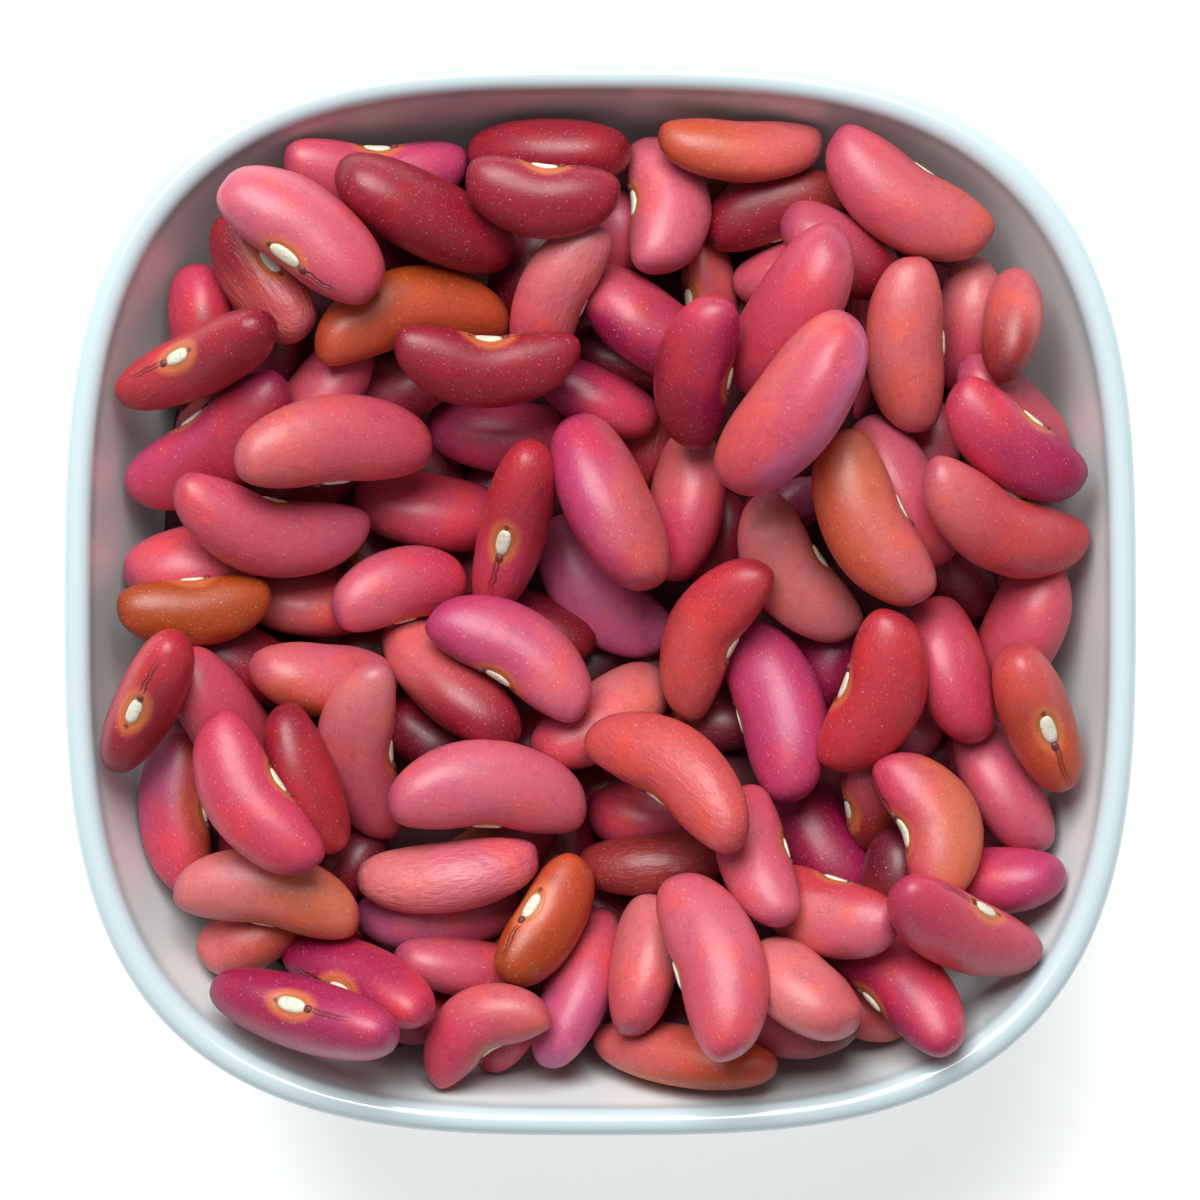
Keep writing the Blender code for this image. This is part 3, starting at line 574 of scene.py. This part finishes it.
@dataclass
class Bowl:
    """The porcelain bowl. Half-widths are from the middle to the middle of a side, in metres."""

    height: float = 0.044
    lip_inside: float = 0.0459
    lip_outside: float = 0.0485
    rim_squareness: float = 3.2
    foot_squareness: float = 2.4
    segments: int = 64
    inner_wall: tuple[tuple[float, float], ...] = (
        (0.0056, 0.0000), (0.0057, 0.0122), (0.0065, 0.0195), (0.0088, 0.0264), (0.0128, 0.0316),
        (0.0182, 0.0361), (0.0252, 0.0402), (0.0328, 0.0432), (0.0388, 0.0449), (0.0426, 0.0459),
    )
    outer_wall: tuple[tuple[float, float], ...] = (
        (0.0424, 0.0485), (0.0375, 0.0477), (0.0305, 0.0459), (0.0230, 0.0431), (0.0155, 0.0392),
        (0.0092, 0.0345), (0.0052, 0.0308), (0.0030, 0.0290), (0.0008, 0.0281), (0.0000, 0.0275),
        (0.0000, 0.0248), (0.0006, 0.0242), (0.0026, 0.0234), (0.0030, 0.0120), (0.0030, 0.0000),
    )

    def stretch(self, angle: np.ndarray, height: np.ndarray) -> np.ndarray:
        """How much further from the middle the outline is at an angle than along X."""
        share = np.clip(np.asarray(height) / self.height, 0.0, 1.0)
        power = self.foot_squareness + (self.rim_squareness - self.foot_squareness) * share
        return (np.abs(np.cos(angle)) ** power + np.abs(np.sin(angle)) ** power) ** (-1 / power)

    def inner_half_width(self, height: np.ndarray) -> np.ndarray:
        """Half-width of the inner wall at a height."""
        heights, widths = zip(*self.inner_wall)
        return np.interp(height, heights, widths)

    def section(self) -> list[tuple[float, float]]:
        """Height and half-width round the wall's section, from the floor over the lip to the foot."""
        radius = (self.lip_outside - self.lip_inside) / 2
        middle = (self.lip_outside + self.lip_inside) / 2
        lip = [
            (self.height - radius + radius * math.sin(math.radians(angle)),
             middle - radius * math.cos(math.radians(angle)))
            for angle in (22, 56, 90, 124, 158)
        ]
        return [*self.inner_wall, *lip, *self.outer_wall]

    def build(self) -> bpy.types.Object:
        """Turn the section about Z, square each ring off, smooth it and glaze it.

        Returns:
            The bowl.
        """
        bm = bmesh.new()
        points = [bm.verts.new((width, 0.0, height)) for height, width in self.section()]
        edges = [bm.edges.new(pair) for pair in zip(points, points[1:])]
        bmesh.ops.spin(
            bm, geom=points + edges, axis=(0, 0, 1), cent=(0, 0, 0), angle=math.tau,
            steps=self.segments, use_merge=True,
        )
        bmesh.ops.remove_doubles(bm, verts=bm.verts, dist=1e-6)
        for vert in bm.verts:
            if math.hypot(vert.co.x, vert.co.y) > 1e-6:
                vert.co.xy *= float(self.stretch(math.atan2(vert.co.y, vert.co.x), vert.co.z))
        bowl = new_piece("glazed_bowl", bm, Glaze().material(), "glaze")
        finer = bowl.modifiers.new("finer", "SUBSURF")
        finer.levels = finer.render_levels = 2
        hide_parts("bowl")
        return bowl


@dataclass
class Laid:
    """A bean where it lies: its middle in millimetres, its slope in degrees and its length."""

    bean: Bean
    middle: np.ndarray
    pitch: float
    long: float

    thickness: ClassVar[float] = 0.79
    arch: ClassVar[float] = 0.125
    bluntness: ClassVar[float] = 0.13
    notch_depth: ClassVar[float] = 0.09

    def wide(self) -> float:
        """Width from the hollow side to the back, given the width that shows from above."""
        roll = math.radians(self.bean.roll)
        return self.bean.wide / math.hypot(math.cos(roll), self.thickness * math.sin(roll))

    def form(self, unit: np.ndarray) -> np.ndarray:
        """Points of the unit sphere shaped into the bean along X, its hollow side towards +Y."""
        wide, bend = self.wide(), self.bean.bend
        blunt = np.maximum(1 - unit[:, 0] ** 2, 1e-9) ** -self.bluntness
        x = unit[:, 0] * self.long / 2
        y = unit[:, 1] * blunt * wide / 2
        z = unit[:, 2] * blunt * wide * self.thickness / 2
        y = y + bend * self.arch * self.long * (unit[:, 0] ** 2 - 0.3)
        notch = np.exp(-((unit[:, 0] / 0.3) ** 2)) * np.clip(unit[:, 1], 0, 1)
        return np.stack([x, y - bend * self.notch_depth * wide * notch, z], axis=1)

    def rotation(self) -> np.ndarray:
        """Matrix that rolls about X, lifts the +X end by the slope, then turns about Z."""
        t, p, r = np.radians([self.bean.turn, self.pitch, self.bean.roll])
        rolled = np.array([[1, 0, 0], [0, np.cos(r), -np.sin(r)], [0, np.sin(r), np.cos(r)]])
        pitched = np.array([[np.cos(p), 0, -np.sin(p)], [0, 1, 0], [np.sin(p), 0, np.cos(p)]])
        turned = np.array([[np.cos(t), -np.sin(t), 0], [np.sin(t), np.cos(t), 0], [0, 0, 1]])
        return turned @ pitched @ rolled

    def place(self, local: np.ndarray) -> np.ndarray:
        """Points of the bean's own frame where they lie in the bowl."""
        return local @ self.rotation().T + self.middle

    def row(self) -> np.ndarray:
        """Five places along the bean."""
        return self.place(np.outer(np.linspace(-0.34, 0.34, 5) * self.long, (1.0, 0.0, 0.0)))

    def coat(self, unit: np.ndarray, points: np.ndarray, number: int) -> np.ndarray:
        """Linear colour of each point, from the hues of the bean's ends and sides."""
        bean = self.bean
        turn = math.radians(bean.turn)
        away = points[:, :2] - self.middle[:2]
        u = away @ (math.cos(turn), math.sin(turn)) / (bean.long / 2)
        v = away @ (-math.sin(turn), math.cos(turn)) / (bean.wide / 2)
        drift = np.array([
            [noise.noise(Vector(place) * scale + Vector((number, 2.7 * number, scale)))
             for scale in (1.1, 1.7)]
            for place in unit
        ])
        share = smooth(-0.8, 0.8, u + 0.7 * drift[:, 0])[:, None]
        colour = bean.near.linear() * (1 - share) + bean.far.linear() * share
        for hue, sign in ((bean.left, 1), (bean.right, -1)):
            if hue:
                share = 0.9 * smooth(-0.1, 0.8, sign * v + 0.7 * drift[:, 1])[:, None]
                colour = colour * (1 - share) + hue.linear() * share
        ends = smooth(0.86, 1.0, np.abs(unit[:, 0]))[:, None]
        return colour * (1 - ends * np.array([0.20, 0.30, 0.12]))


@dataclass
class Heap:
    """The beans: how they settle in the bowl, and the pieces that they make. Millimetres."""

    bowl: Bowl
    pile_middle: float = 26.0
    pile_side: float = 34.0
    pile_spread: float = 44.0
    wall_gap: float = 0.4
    longest: float = 19.5
    steps: int = 2000
    plan_give: float = 0.12
    eye_height: float = 494.0
    bed_depth: float = 12.0
    bed_pitch: float = 9.5
    bed_jitter: float = 1.5
    bed_gap: float = 4.5
    bed_drop: float = 0.5
    heart_depth: float = 13.5
    heart_brim: tuple[float, float] = (18.0, 28.0)
    slack: float = 0.023
    cell: float = 0.6
    span: float = 51.0

    def wall(self, points: np.ndarray) -> np.ndarray:
        """How far out the beans may reach, in the direction and at the height of each point."""
        angle = np.arctan2(points[:, 1], points[:, 0])
        level = np.clip(points[:, 2] * MM, 0.006, self.bowl.height)
        half = self.bowl.inner_half_width(level) / MM - self.wall_gap
        return half * self.bowl.stretch(angle, level)

    def pile_height(self, x: np.ndarray, y: np.ndarray) -> np.ndarray:
        """Top of the pile of beans that never show."""
        out = np.minimum(np.hypot(x, y) / self.pile_spread, 1.0)
        return self.pile_middle + (self.pile_side - self.pile_middle) * out**2

    def settle(self, laid: list[Laid]) -> None:
        """Let the beans sink, each as a row of balls, until they rest on the pile and each other.

        A bean keeps its turn and roll, stays near its place in plan and tips end over end. Later
        beans start higher.

        Args:
            laid: the beans, lowest first, whose middles, slopes and lengths are set here.
        """
        beans = [item.bean for item in laid]
        turn, roll = np.radians([(b.turn, b.roll) for b in beans]).T
        place = np.array([(b.x, b.y) for b in beans])
        long = np.array([b.long for b in beans])
        radius = 0.47 * math.sqrt(Laid.thickness) * np.array([item.wide() for item in laid])
        share = np.array((-1.0, -0.5, 0.0, 0.5, 1.0))
        reach = share * (long / 2 - radius)[:, None]
        bend = np.array([b.bend for b in beans])[:, None] * Laid.arch * long[:, None]
        arch = bend * (share**2 * 0.7 - 0.3)
        sideways = arch * np.cos(roll)[:, None]
        across = np.stack([-np.sin(turn), np.cos(turn)], axis=1)
        ahead = np.stack([np.cos(turn), np.sin(turn)], axis=1)
        plan = reach[..., None] * ahead[:, None] + sideways[..., None] * across[:, None]
        rise = arch * np.sin(roll)[:, None]
        steepest = np.minimum(np.sqrt(np.maximum((self.longest / long) ** 2 - 1, 0.02)), 0.7)

        owner = np.repeat(np.arange(len(beans)), len(share))
        ball = radius[owner]
        spread = (place[:, None] + plan).reshape(-1, 2)
        first, second = np.triu_indices(len(owner), 1)
        apart = np.hypot(*(spread[first] - spread[second]).T)
        near = (owner[first] != owner[second]) & (apart < ball[first] + ball[second] + 3)
        first, second = first[near], second[near]
        touch = ball[first] + ball[second]
        lever = (reach**2).sum(axis=1) / len(share)

        xy, z = place.copy(), 36.0 + 0.75 * np.arange(len(beans))
        slope = np.zeros(len(beans))
        for step in range(self.steps):
            z -= 0.06 if step < 0.8 * self.steps else 0.0
            balls = np.empty((len(owner), 3))
            balls[:, :2] = (xy[:, None] + plan).reshape(-1, 2)
            balls[:, 2] = (z[:, None] + rise + reach * slope[:, None]).ravel()
            push = np.zeros_like(balls)
            gap = balls[first] - balls[second]
            distance = np.linalg.norm(gap, axis=1)
            overlap = np.maximum(touch - distance, 0.0)
            shove = gap * (0.5 * overlap / np.maximum(distance, 1e-6))[:, None]
            np.add.at(push, first, shove)
            np.add.at(push, second, -shove)
            under = self.pile_height(balls[:, 0], balls[:, 1]) + ball - balls[:, 2]
            push[:, 2] += np.maximum(under, 0.0)
            angle, out = np.arctan2(balls[:, 1], balls[:, 0]), np.hypot(balls[:, 0], balls[:, 1])
            past = np.maximum(out - (self.wall(balls) - ball), 0.0)
            inward = np.where(balls[:, 2] < self.bowl.height / MM + 2, past, 0.0)
            push[:, 0] -= inward * np.cos(angle)
            push[:, 1] -= inward * np.sin(angle)
            pushes = push.reshape(len(beans), len(share), 3)
            seen = place * ((self.eye_height - z) / (self.eye_height - self.bowl.height / MM))[:, None]
            xy += self.plan_give * pushes[..., :2].sum(axis=1) + 0.04 * (seen - xy)
            z += 0.30 * pushes[..., 2].sum(axis=1)
            slope += 0.10 * (pushes[..., 2] * reach).sum(axis=1) / lever
            slope = np.clip(slope, -steepest, steepest)
        for item, middle, tilt in zip(laid, np.column_stack([xy, z]), slope):
            item.middle, item.pitch = middle, math.degrees(math.atan(tilt))
            item.long = item.bean.long * math.hypot(1, tilt)

    def clear_wall(self, item: Laid, unit: np.ndarray) -> None:
        """Move a bean towards the middle of the bowl until it clears the wall."""
        for _ in range(3):
            points = item.place(item.form(unit))
            low = points[points[:, 2] < self.bowl.height / MM + self.wall_gap]
            if len(low):
                past = max((np.hypot(low[:, 0], low[:, 1]) - self.wall(low)).max(), 0.0)
                item.middle[:2] -= past * item.middle[:2] / math.hypot(*item.middle[:2])

    def cell_at(self, x: float, y: float) -> tuple[int, ...]:
        """Row and column of the height grid's cell that holds a place."""
        last = round(2 * self.span / self.cell) - 1
        return tuple(min(max(int((c + self.span) / self.cell), 0), last) for c in (x, y))

    def mean_heights(self, laid: list[Laid], unit: np.ndarray) -> np.ndarray:
        """Heights of the heap's top, averaged over about a bean's length.

        Args:
            laid: the beans that show.
            unit: many points of the unit sphere.

        Returns:
            A square grid of heights.
        """
        side = np.arange(-self.span + self.cell / 2, self.span, self.cell)
        grid = self.pile_height(*np.meshgrid(side, side, indexing="ij"))
        for item in laid:
            points = item.place(item.form(unit))
            cells = ((points[:, :2] + self.span) / self.cell).astype(int)
            cells = np.clip(cells, 0, len(grid) - 1)
            np.maximum.at(grid, (cells[:, 0], cells[:, 1]), points[:, 2])
        reach = round(5.0 / self.cell)
        for axis in (0, 1):
            grid = sum(np.roll(grid, step, axis) for step in range(-reach, reach + 1))
            grid = grid / (2 * reach + 1)
        return grid

    def bed(self, mean: np.ndarray) -> list[Laid]:
        """The beans under those that show, in jittered rows at every turn, by a seeded rule."""
        rng = np.random.default_rng(7)
        hues = (Hue.WINE, Hue.CRIMSON, Hue.PLUM, Hue.BRICK, Hue.CRIMSON, Hue.DUSKY)
        found = []
        for row, y in enumerate(np.arange(-45, 46, self.bed_pitch * 0.75)):
            for x in np.arange(-45 + (row % 2) * self.bed_pitch / 2, 46, self.bed_pitch):
                place = np.array([x, y, 0.0]) + rng.uniform(-self.bed_jitter, self.bed_jitter, 3)
                turn, roll, hue = rng.uniform(0, 360), rng.uniform(-80, 80), rng.integers(6)
                long, wide = rng.uniform(14, 17), rng.uniform(6.8, 7.8)
                place[2] += mean[self.cell_at(place[0], place[1])] - self.bed_depth
                limit = self.wall(place[None])[0] - 3.5
                out = math.hypot(place[0], place[1])
                if out > limit + 4:
                    continue
                place[:2] *= min(1.0, limit / out)
                if out > limit - 6:
                    turn = math.degrees(math.atan2(place[1], place[0])) + 90 + rng.uniform(-25, 25)
                bean = Bean(place[0], place[1], turn, roll, long, wide, 0.6, hues[hue],
                            hues[(hue + 1) % 6])
                found.append(Laid(bean, place, rng.uniform(-12, 12), long))
        return found

    def sunk(self, below: list[Laid], shown: list[Laid]) -> list[Laid]:
        """Lower the beans of the bed, step by step, out of those that show.

        Args:
            below: the beans of the bed.
            shown: the beans that show.

        Returns:
            The beans of the bed that come clear within 4 mm.
        """
        rows = np.concatenate([item.row() for item in shown])
        kept = []
        for item in below:
            for _ in range(9):
                if np.linalg.norm(item.row()[:, None] - rows, axis=2).min() > self.bed_gap:
                    kept.append(item)
                    break
                item.middle[2] -= self.bed_drop
        return kept

    def lay(self) -> tuple[list[Laid], list[Laid], np.ndarray]:
        """Settle everything.

        Returns:
            The beans that show, the beans below them, and the grid of mean heights.
        """
        shown = [Laid(bean, np.zeros(3), 0.0, bean.long) for bean in BEANS]
        self.settle(shown)
        unit = sphere_points(56, 48)
        for item in shown:
            self.clear_wall(item, unit)
        mean = self.mean_heights(shown, unit)
        below = self.bed(mean)
        for item in below:
            self.clear_wall(item, unit)
        self.rest(shown, below)
        return shown, self.sunk(below, shown), mean

    def rest(self, shown: list[Laid], below: list[Laid]) -> None:
        """Lower each bean that shows until it touches one below it, the lowest first."""
        bm = bmesh.new()
        bmesh.ops.create_uvsphere(bm, u_segments=14, v_segments=12, radius=1.0)
        unit = np.array([(v.co.z, v.co.x, v.co.y) for v in bm.verts])
        faces = [[v.index for v in face.verts] for face in bm.faces]
        bm.free()

        def surface(item: Laid) -> BVHTree:
            """The bean's surface."""
            return BVHTree.FromPolygons(item.place(item.form(unit)).tolist(), faces)

        done = [(item.middle, surface(item)) for item in below]
        for item in sorted(shown, key=lambda one: one.middle[2]):
            near = [tree for middle, tree in done
                    if math.hypot(*(middle - item.middle)[:2]) < 20]
            for _ in range(25):
                tree = surface(item)
                if any(tree.overlap(other) for other in near):
                    break
                item.middle[2] -= 0.12
            done.append((item.middle, tree))

    def make_beans(self, name: str, laid: list[Laid], rings: int, finish: SeedCoat) -> bpy.types.Object:
        """Make one piece of all the beans in a list.

        Args:
            name: the piece's name.
            laid: the beans.
            rings: rings along each bean.
            finish: their seed coat.

        Returns:
            The piece, whose attributes carry each bean's colour and its own coordinates.
        """
        one, unit = self.ball(rings + 4, rings)
        bm = bmesh.new()
        for number, item in enumerate(laid):
            local = self.roughen(item.form(unit), unit, item.bean, number)
            points = item.place(local)
            for x, y, radius, depth in DENTS:
                away = np.hypot(points[:, 0] - x, points[:, 1] - y) / radius
                inside = (points[:, 2] > item.middle[2]) & (away < 3)
                sunk = depth * (np.exp(-away**2) - 0.35 * np.exp(-((away - 1.5) / 0.5) ** 2))
                points[:, 2] -= np.where(inside & (item.middle[2] > 36), sunk, 0.0)
            tag = (number * 1.37, item.bean.knob, item.bean.wrinkle)
            self.dress(one, points, item.coat(unit, points, number), local, tag)
            bm.from_mesh(one)
        bpy.data.meshes.remove(one)
        return new_piece(name, bm, finish.material(), "beans")

    def ball(self, around: int, rings: int) -> tuple[bpy.types.Mesh, np.ndarray]:
        """A unit sphere with its poles on X, with the attributes that the finishes read.

        Args:
            around: segments round X.
            rings: rings along X.

        Returns:
            The mesh and its points.
        """
        bm = bmesh.new()
        bmesh.ops.create_uvsphere(bm, u_segments=around, v_segments=rings, radius=1.0)
        unit = np.array([(v.co.z, v.co.x, v.co.y) for v in bm.verts])
        one = bpy.data.meshes.new("one")
        bm.to_mesh(one)
        bm.free()
        one.attributes.new("coat", "FLOAT_COLOR", "POINT")
        one.attributes.new("place", "FLOAT_VECTOR", "POINT")
        one.attributes.new("odds", "FLOAT_VECTOR", "POINT")
        return one, unit

    def dress(self, one: bpy.types.Mesh, points: np.ndarray, colours: np.ndarray,
              local: np.ndarray, tag: tuple[float, float, float]) -> None:
        """Give a ball from self.ball its final points, in millimetres, and its attributes."""
        colours = np.hstack([np.broadcast_to(colours, points.shape), np.ones((len(points), 1))])
        one.vertices.foreach_set("co", (points * MM).astype(np.float32).ravel())
        one.attributes["coat"].data.foreach_set("color", colours.astype(np.float32).ravel())
        one.attributes["place"].data.foreach_set("vector", local.astype(np.float32).ravel())
        odds = np.broadcast_to(tag, points.shape)
        one.attributes["odds"].data.foreach_set("vector", odds.astype(np.float32).ravel())

    def roughen(self, local: np.ndarray, unit: np.ndarray, bean: Bean, number: int) -> np.ndarray:
        """Swell and pinch a bean a little, so that no two are alike, within the model's bean."""
        shift = Vector((number * 3.1, number * 1.7, 0.0))
        swell = np.array([
            noise.noise(Vector(spot) * 1.6 + shift) * 0.030
            + bean.wrinkle * 0.030 * noise.noise(Vector((spot[0] * 2, spot[1] * 5, spot[2] * 5)) + shift)
            for spot in unit
        ])
        return local * (1 - self.slack + swell[:, None] * np.array([0.5, 1.0, 1.0]))

    def make_eyes(self, laid: list[Laid]) -> bpy.types.Object:
        """Make the pale eye of every bean in a list, with the knob at one end of it."""
        one, unit = self.ball(14, 10)
        square = np.sign(unit) * np.abs(unit) ** 0.85
        bm = bmesh.new()
        for number, item in enumerate(laid):
            size = item.wide() / 8.0
            for white, middle, half in (
                (1.0, (0.0, -0.14, 0.0), (1.36, 0.34, 0.66)),
                (0.0, (item.bean.knob * 1.68, -0.08, 0.0), (0.40, 0.30, 0.35)),
            ):
                local = (square * half + middle) * size
                u = local[:, 0] / (item.long / 2)
                crest = item.form(np.stack([u, np.sqrt(1 - u**2), 0 * u], axis=1))[:, 1]
                local[:, 1] += 0.985 * crest
                self.dress(one, item.place(local), np.full(3, white), local + number, (0, 0, 0))
                bm.from_mesh(one)
        bpy.data.meshes.remove(one)
        return new_piece("bean_eyes", bm, EyePad().material(), "beans")

    def make_heart(self, mean: np.ndarray) -> bpy.types.Object:
        """Make the dark body under the beans, coloured as painted shade, shaped to the bowl below and to
        the heap above.
        """

        def top_at(x: float, y: float) -> float:
            """Height of the body's top at a place, in millimetres."""
            return mean[self.cell_at(x, y)] - self.heart_depth

        bm = bmesh.new()
        bmesh.ops.create_uvsphere(bm, u_segments=64, v_segments=32, radius=1.0)
        floor = self.bowl.inner_wall[0][0] / MM + self.wall_gap
        for vert in bm.verts:
            angle = math.atan2(vert.co.y, vert.co.x)
            ahead = np.array([[math.cos(angle), math.sin(angle), 27.0]])
            latitude = math.asin(max(-1.0, min(1.0, vert.co.z))) / (math.pi / 2)
            for _ in range(3):
                edge = float(self.wall(ahead)[0])
                near = top_at(*(0.95 * edge * ahead[0, :2]))
                ahead[0, 2] = np.clip(near, *self.heart_brim)
            brim = ahead[0, 2]
            if latitude > 0:
                place = ahead[0, :2] * edge * (1 - latitude)
                level = brim + (top_at(*place) - brim) * min(1.0, 5 * latitude)
            else:
                level = floor + (brim - floor) * (1 + latitude) ** 2.2
                ahead[0, 2] = level - self.wall_gap
                place = ahead[0, :2] * float(self.wall(ahead)[0]) * (latitude > -1 + 1e-4)
            vert.co = (place[0] * MM, place[1] * MM, level * MM)
        bmesh.ops.remove_doubles(bm, verts=bm.verts, dist=1e-6)
        # The body's colour is painted shade.
        return new_piece("heap_heart", bm, PaintedShadeHeart().material(), "beans")

    def build(self) -> list[bpy.types.Object]:
        """Lay the beans and make the pieces that stand for the heap.

        Returns:
            The pieces.
        """
        shown, below, mean = self.lay()
        made = [
            self.make_beans("beans_that_show", shown, 24, SeedCoat()),
            self.make_eyes(shown),
            # The beans below get a seed coat darkened to 0.7 as painted shade.
            self.make_beans("beans_below", below, 12, SeedCoat("deep_seed_coat_painted_shade", shade=0.7)),
            self.make_heart(mean),
        ]
        for piece in made:
            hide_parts("beans")
        return made


def sphere_points(stations: int, around: int) -> np.ndarray:
    """Points spread over the unit sphere, with its poles on X."""
    along = np.cos(np.linspace(0.02, math.pi - 0.02, stations))
    turns = np.linspace(0, math.tau, around, endpoint=False)
    x, angle = (grid.ravel() for grid in np.meshgrid(along, turns))
    radius = np.sqrt(1 - x**2)
    return np.stack([x, radius * np.cos(angle), radius * np.sin(angle)], axis=1)


@dataclass
class Studio:
    """Pale ground, a soft window towards the top of the picture, and a camera straight above."""

    ground_side: float = 3.0
    camera_height: float = 0.494
    picture_width: float = 0.108
    rim_height: float = 0.044
    key_place: tuple[float, float, float] = (-0.10, 0.42, 0.68)
    key_side: float = 0.52
    key_power: float = 8.4
    fill_strength: float = 0.27

    def build(self) -> None:
        """Make the ground, the light and the camera."""
        bm = bmesh.new()
        bmesh.ops.create_grid(bm, x_segments=8, y_segments=8, size=self.ground_side / 2)
        ground = new_piece("ground", bm, PaleGround().material(), "")
        self.light()
        self.shoot()

    def light(self) -> None:
        """Make the window and the even light from all round."""
        scene = bpy.context.scene
        world = bpy.data.worlds.new("soft_room")
        world.use_nodes = True
        around = world.node_tree.nodes["Background"].inputs
        around["Color"].default_value = (0.97, 0.985, 1.0, 1.0)
        around["Strength"].default_value = self.fill_strength
        scene.world = world
        data = bpy.data.lights.new("window", "AREA")
        data.shape = "SQUARE"
        data.size = self.key_side
        data.energy = self.key_power
        data.color = (1.0, 0.995, 0.985)
        lamp = bpy.data.objects.new("window", data)
        lamp.location = self.key_place
        aim = Vector((0.0, 0.0, 0.03)) - lamp.location
        lamp.rotation_euler = aim.to_track_quat("-Z", "Y").to_euler()
        scene.collection.objects.link(lamp)

    def shoot(self) -> None:
        """Make the camera, straight above with +Y to the top of the picture."""
        scene = bpy.context.scene
        lens = bpy.data.cameras.new("camera")
        lens.sensor_width = 36.0
        lens.lens = 36.0 * (self.camera_height - self.rim_height) / self.picture_width
        lens.clip_start, lens.clip_end = 0.01, 10.0
        camera = bpy.data.objects.new("camera", lens)
        camera.location = (0.0, -0.00009, self.camera_height)
        scene.collection.objects.link(camera)
        scene.camera = camera
        scene.view_settings.view_transform = "Standard"
        scene.view_settings.look = "None"


def main() -> None:
    """Build the bowl, the heap and the studio, and report each piece."""
    logging.basicConfig(level=logging.INFO, format="%(message)s")
    bowl = Bowl()
    pieces = [bowl.build(), *Heap(bowl).build()]
    for piece in pieces:
        LOG.info("%s: %d faces", piece.name, len(piece.data.polygons))
    Studio().build()


if __name__ == "__main__":
    main()
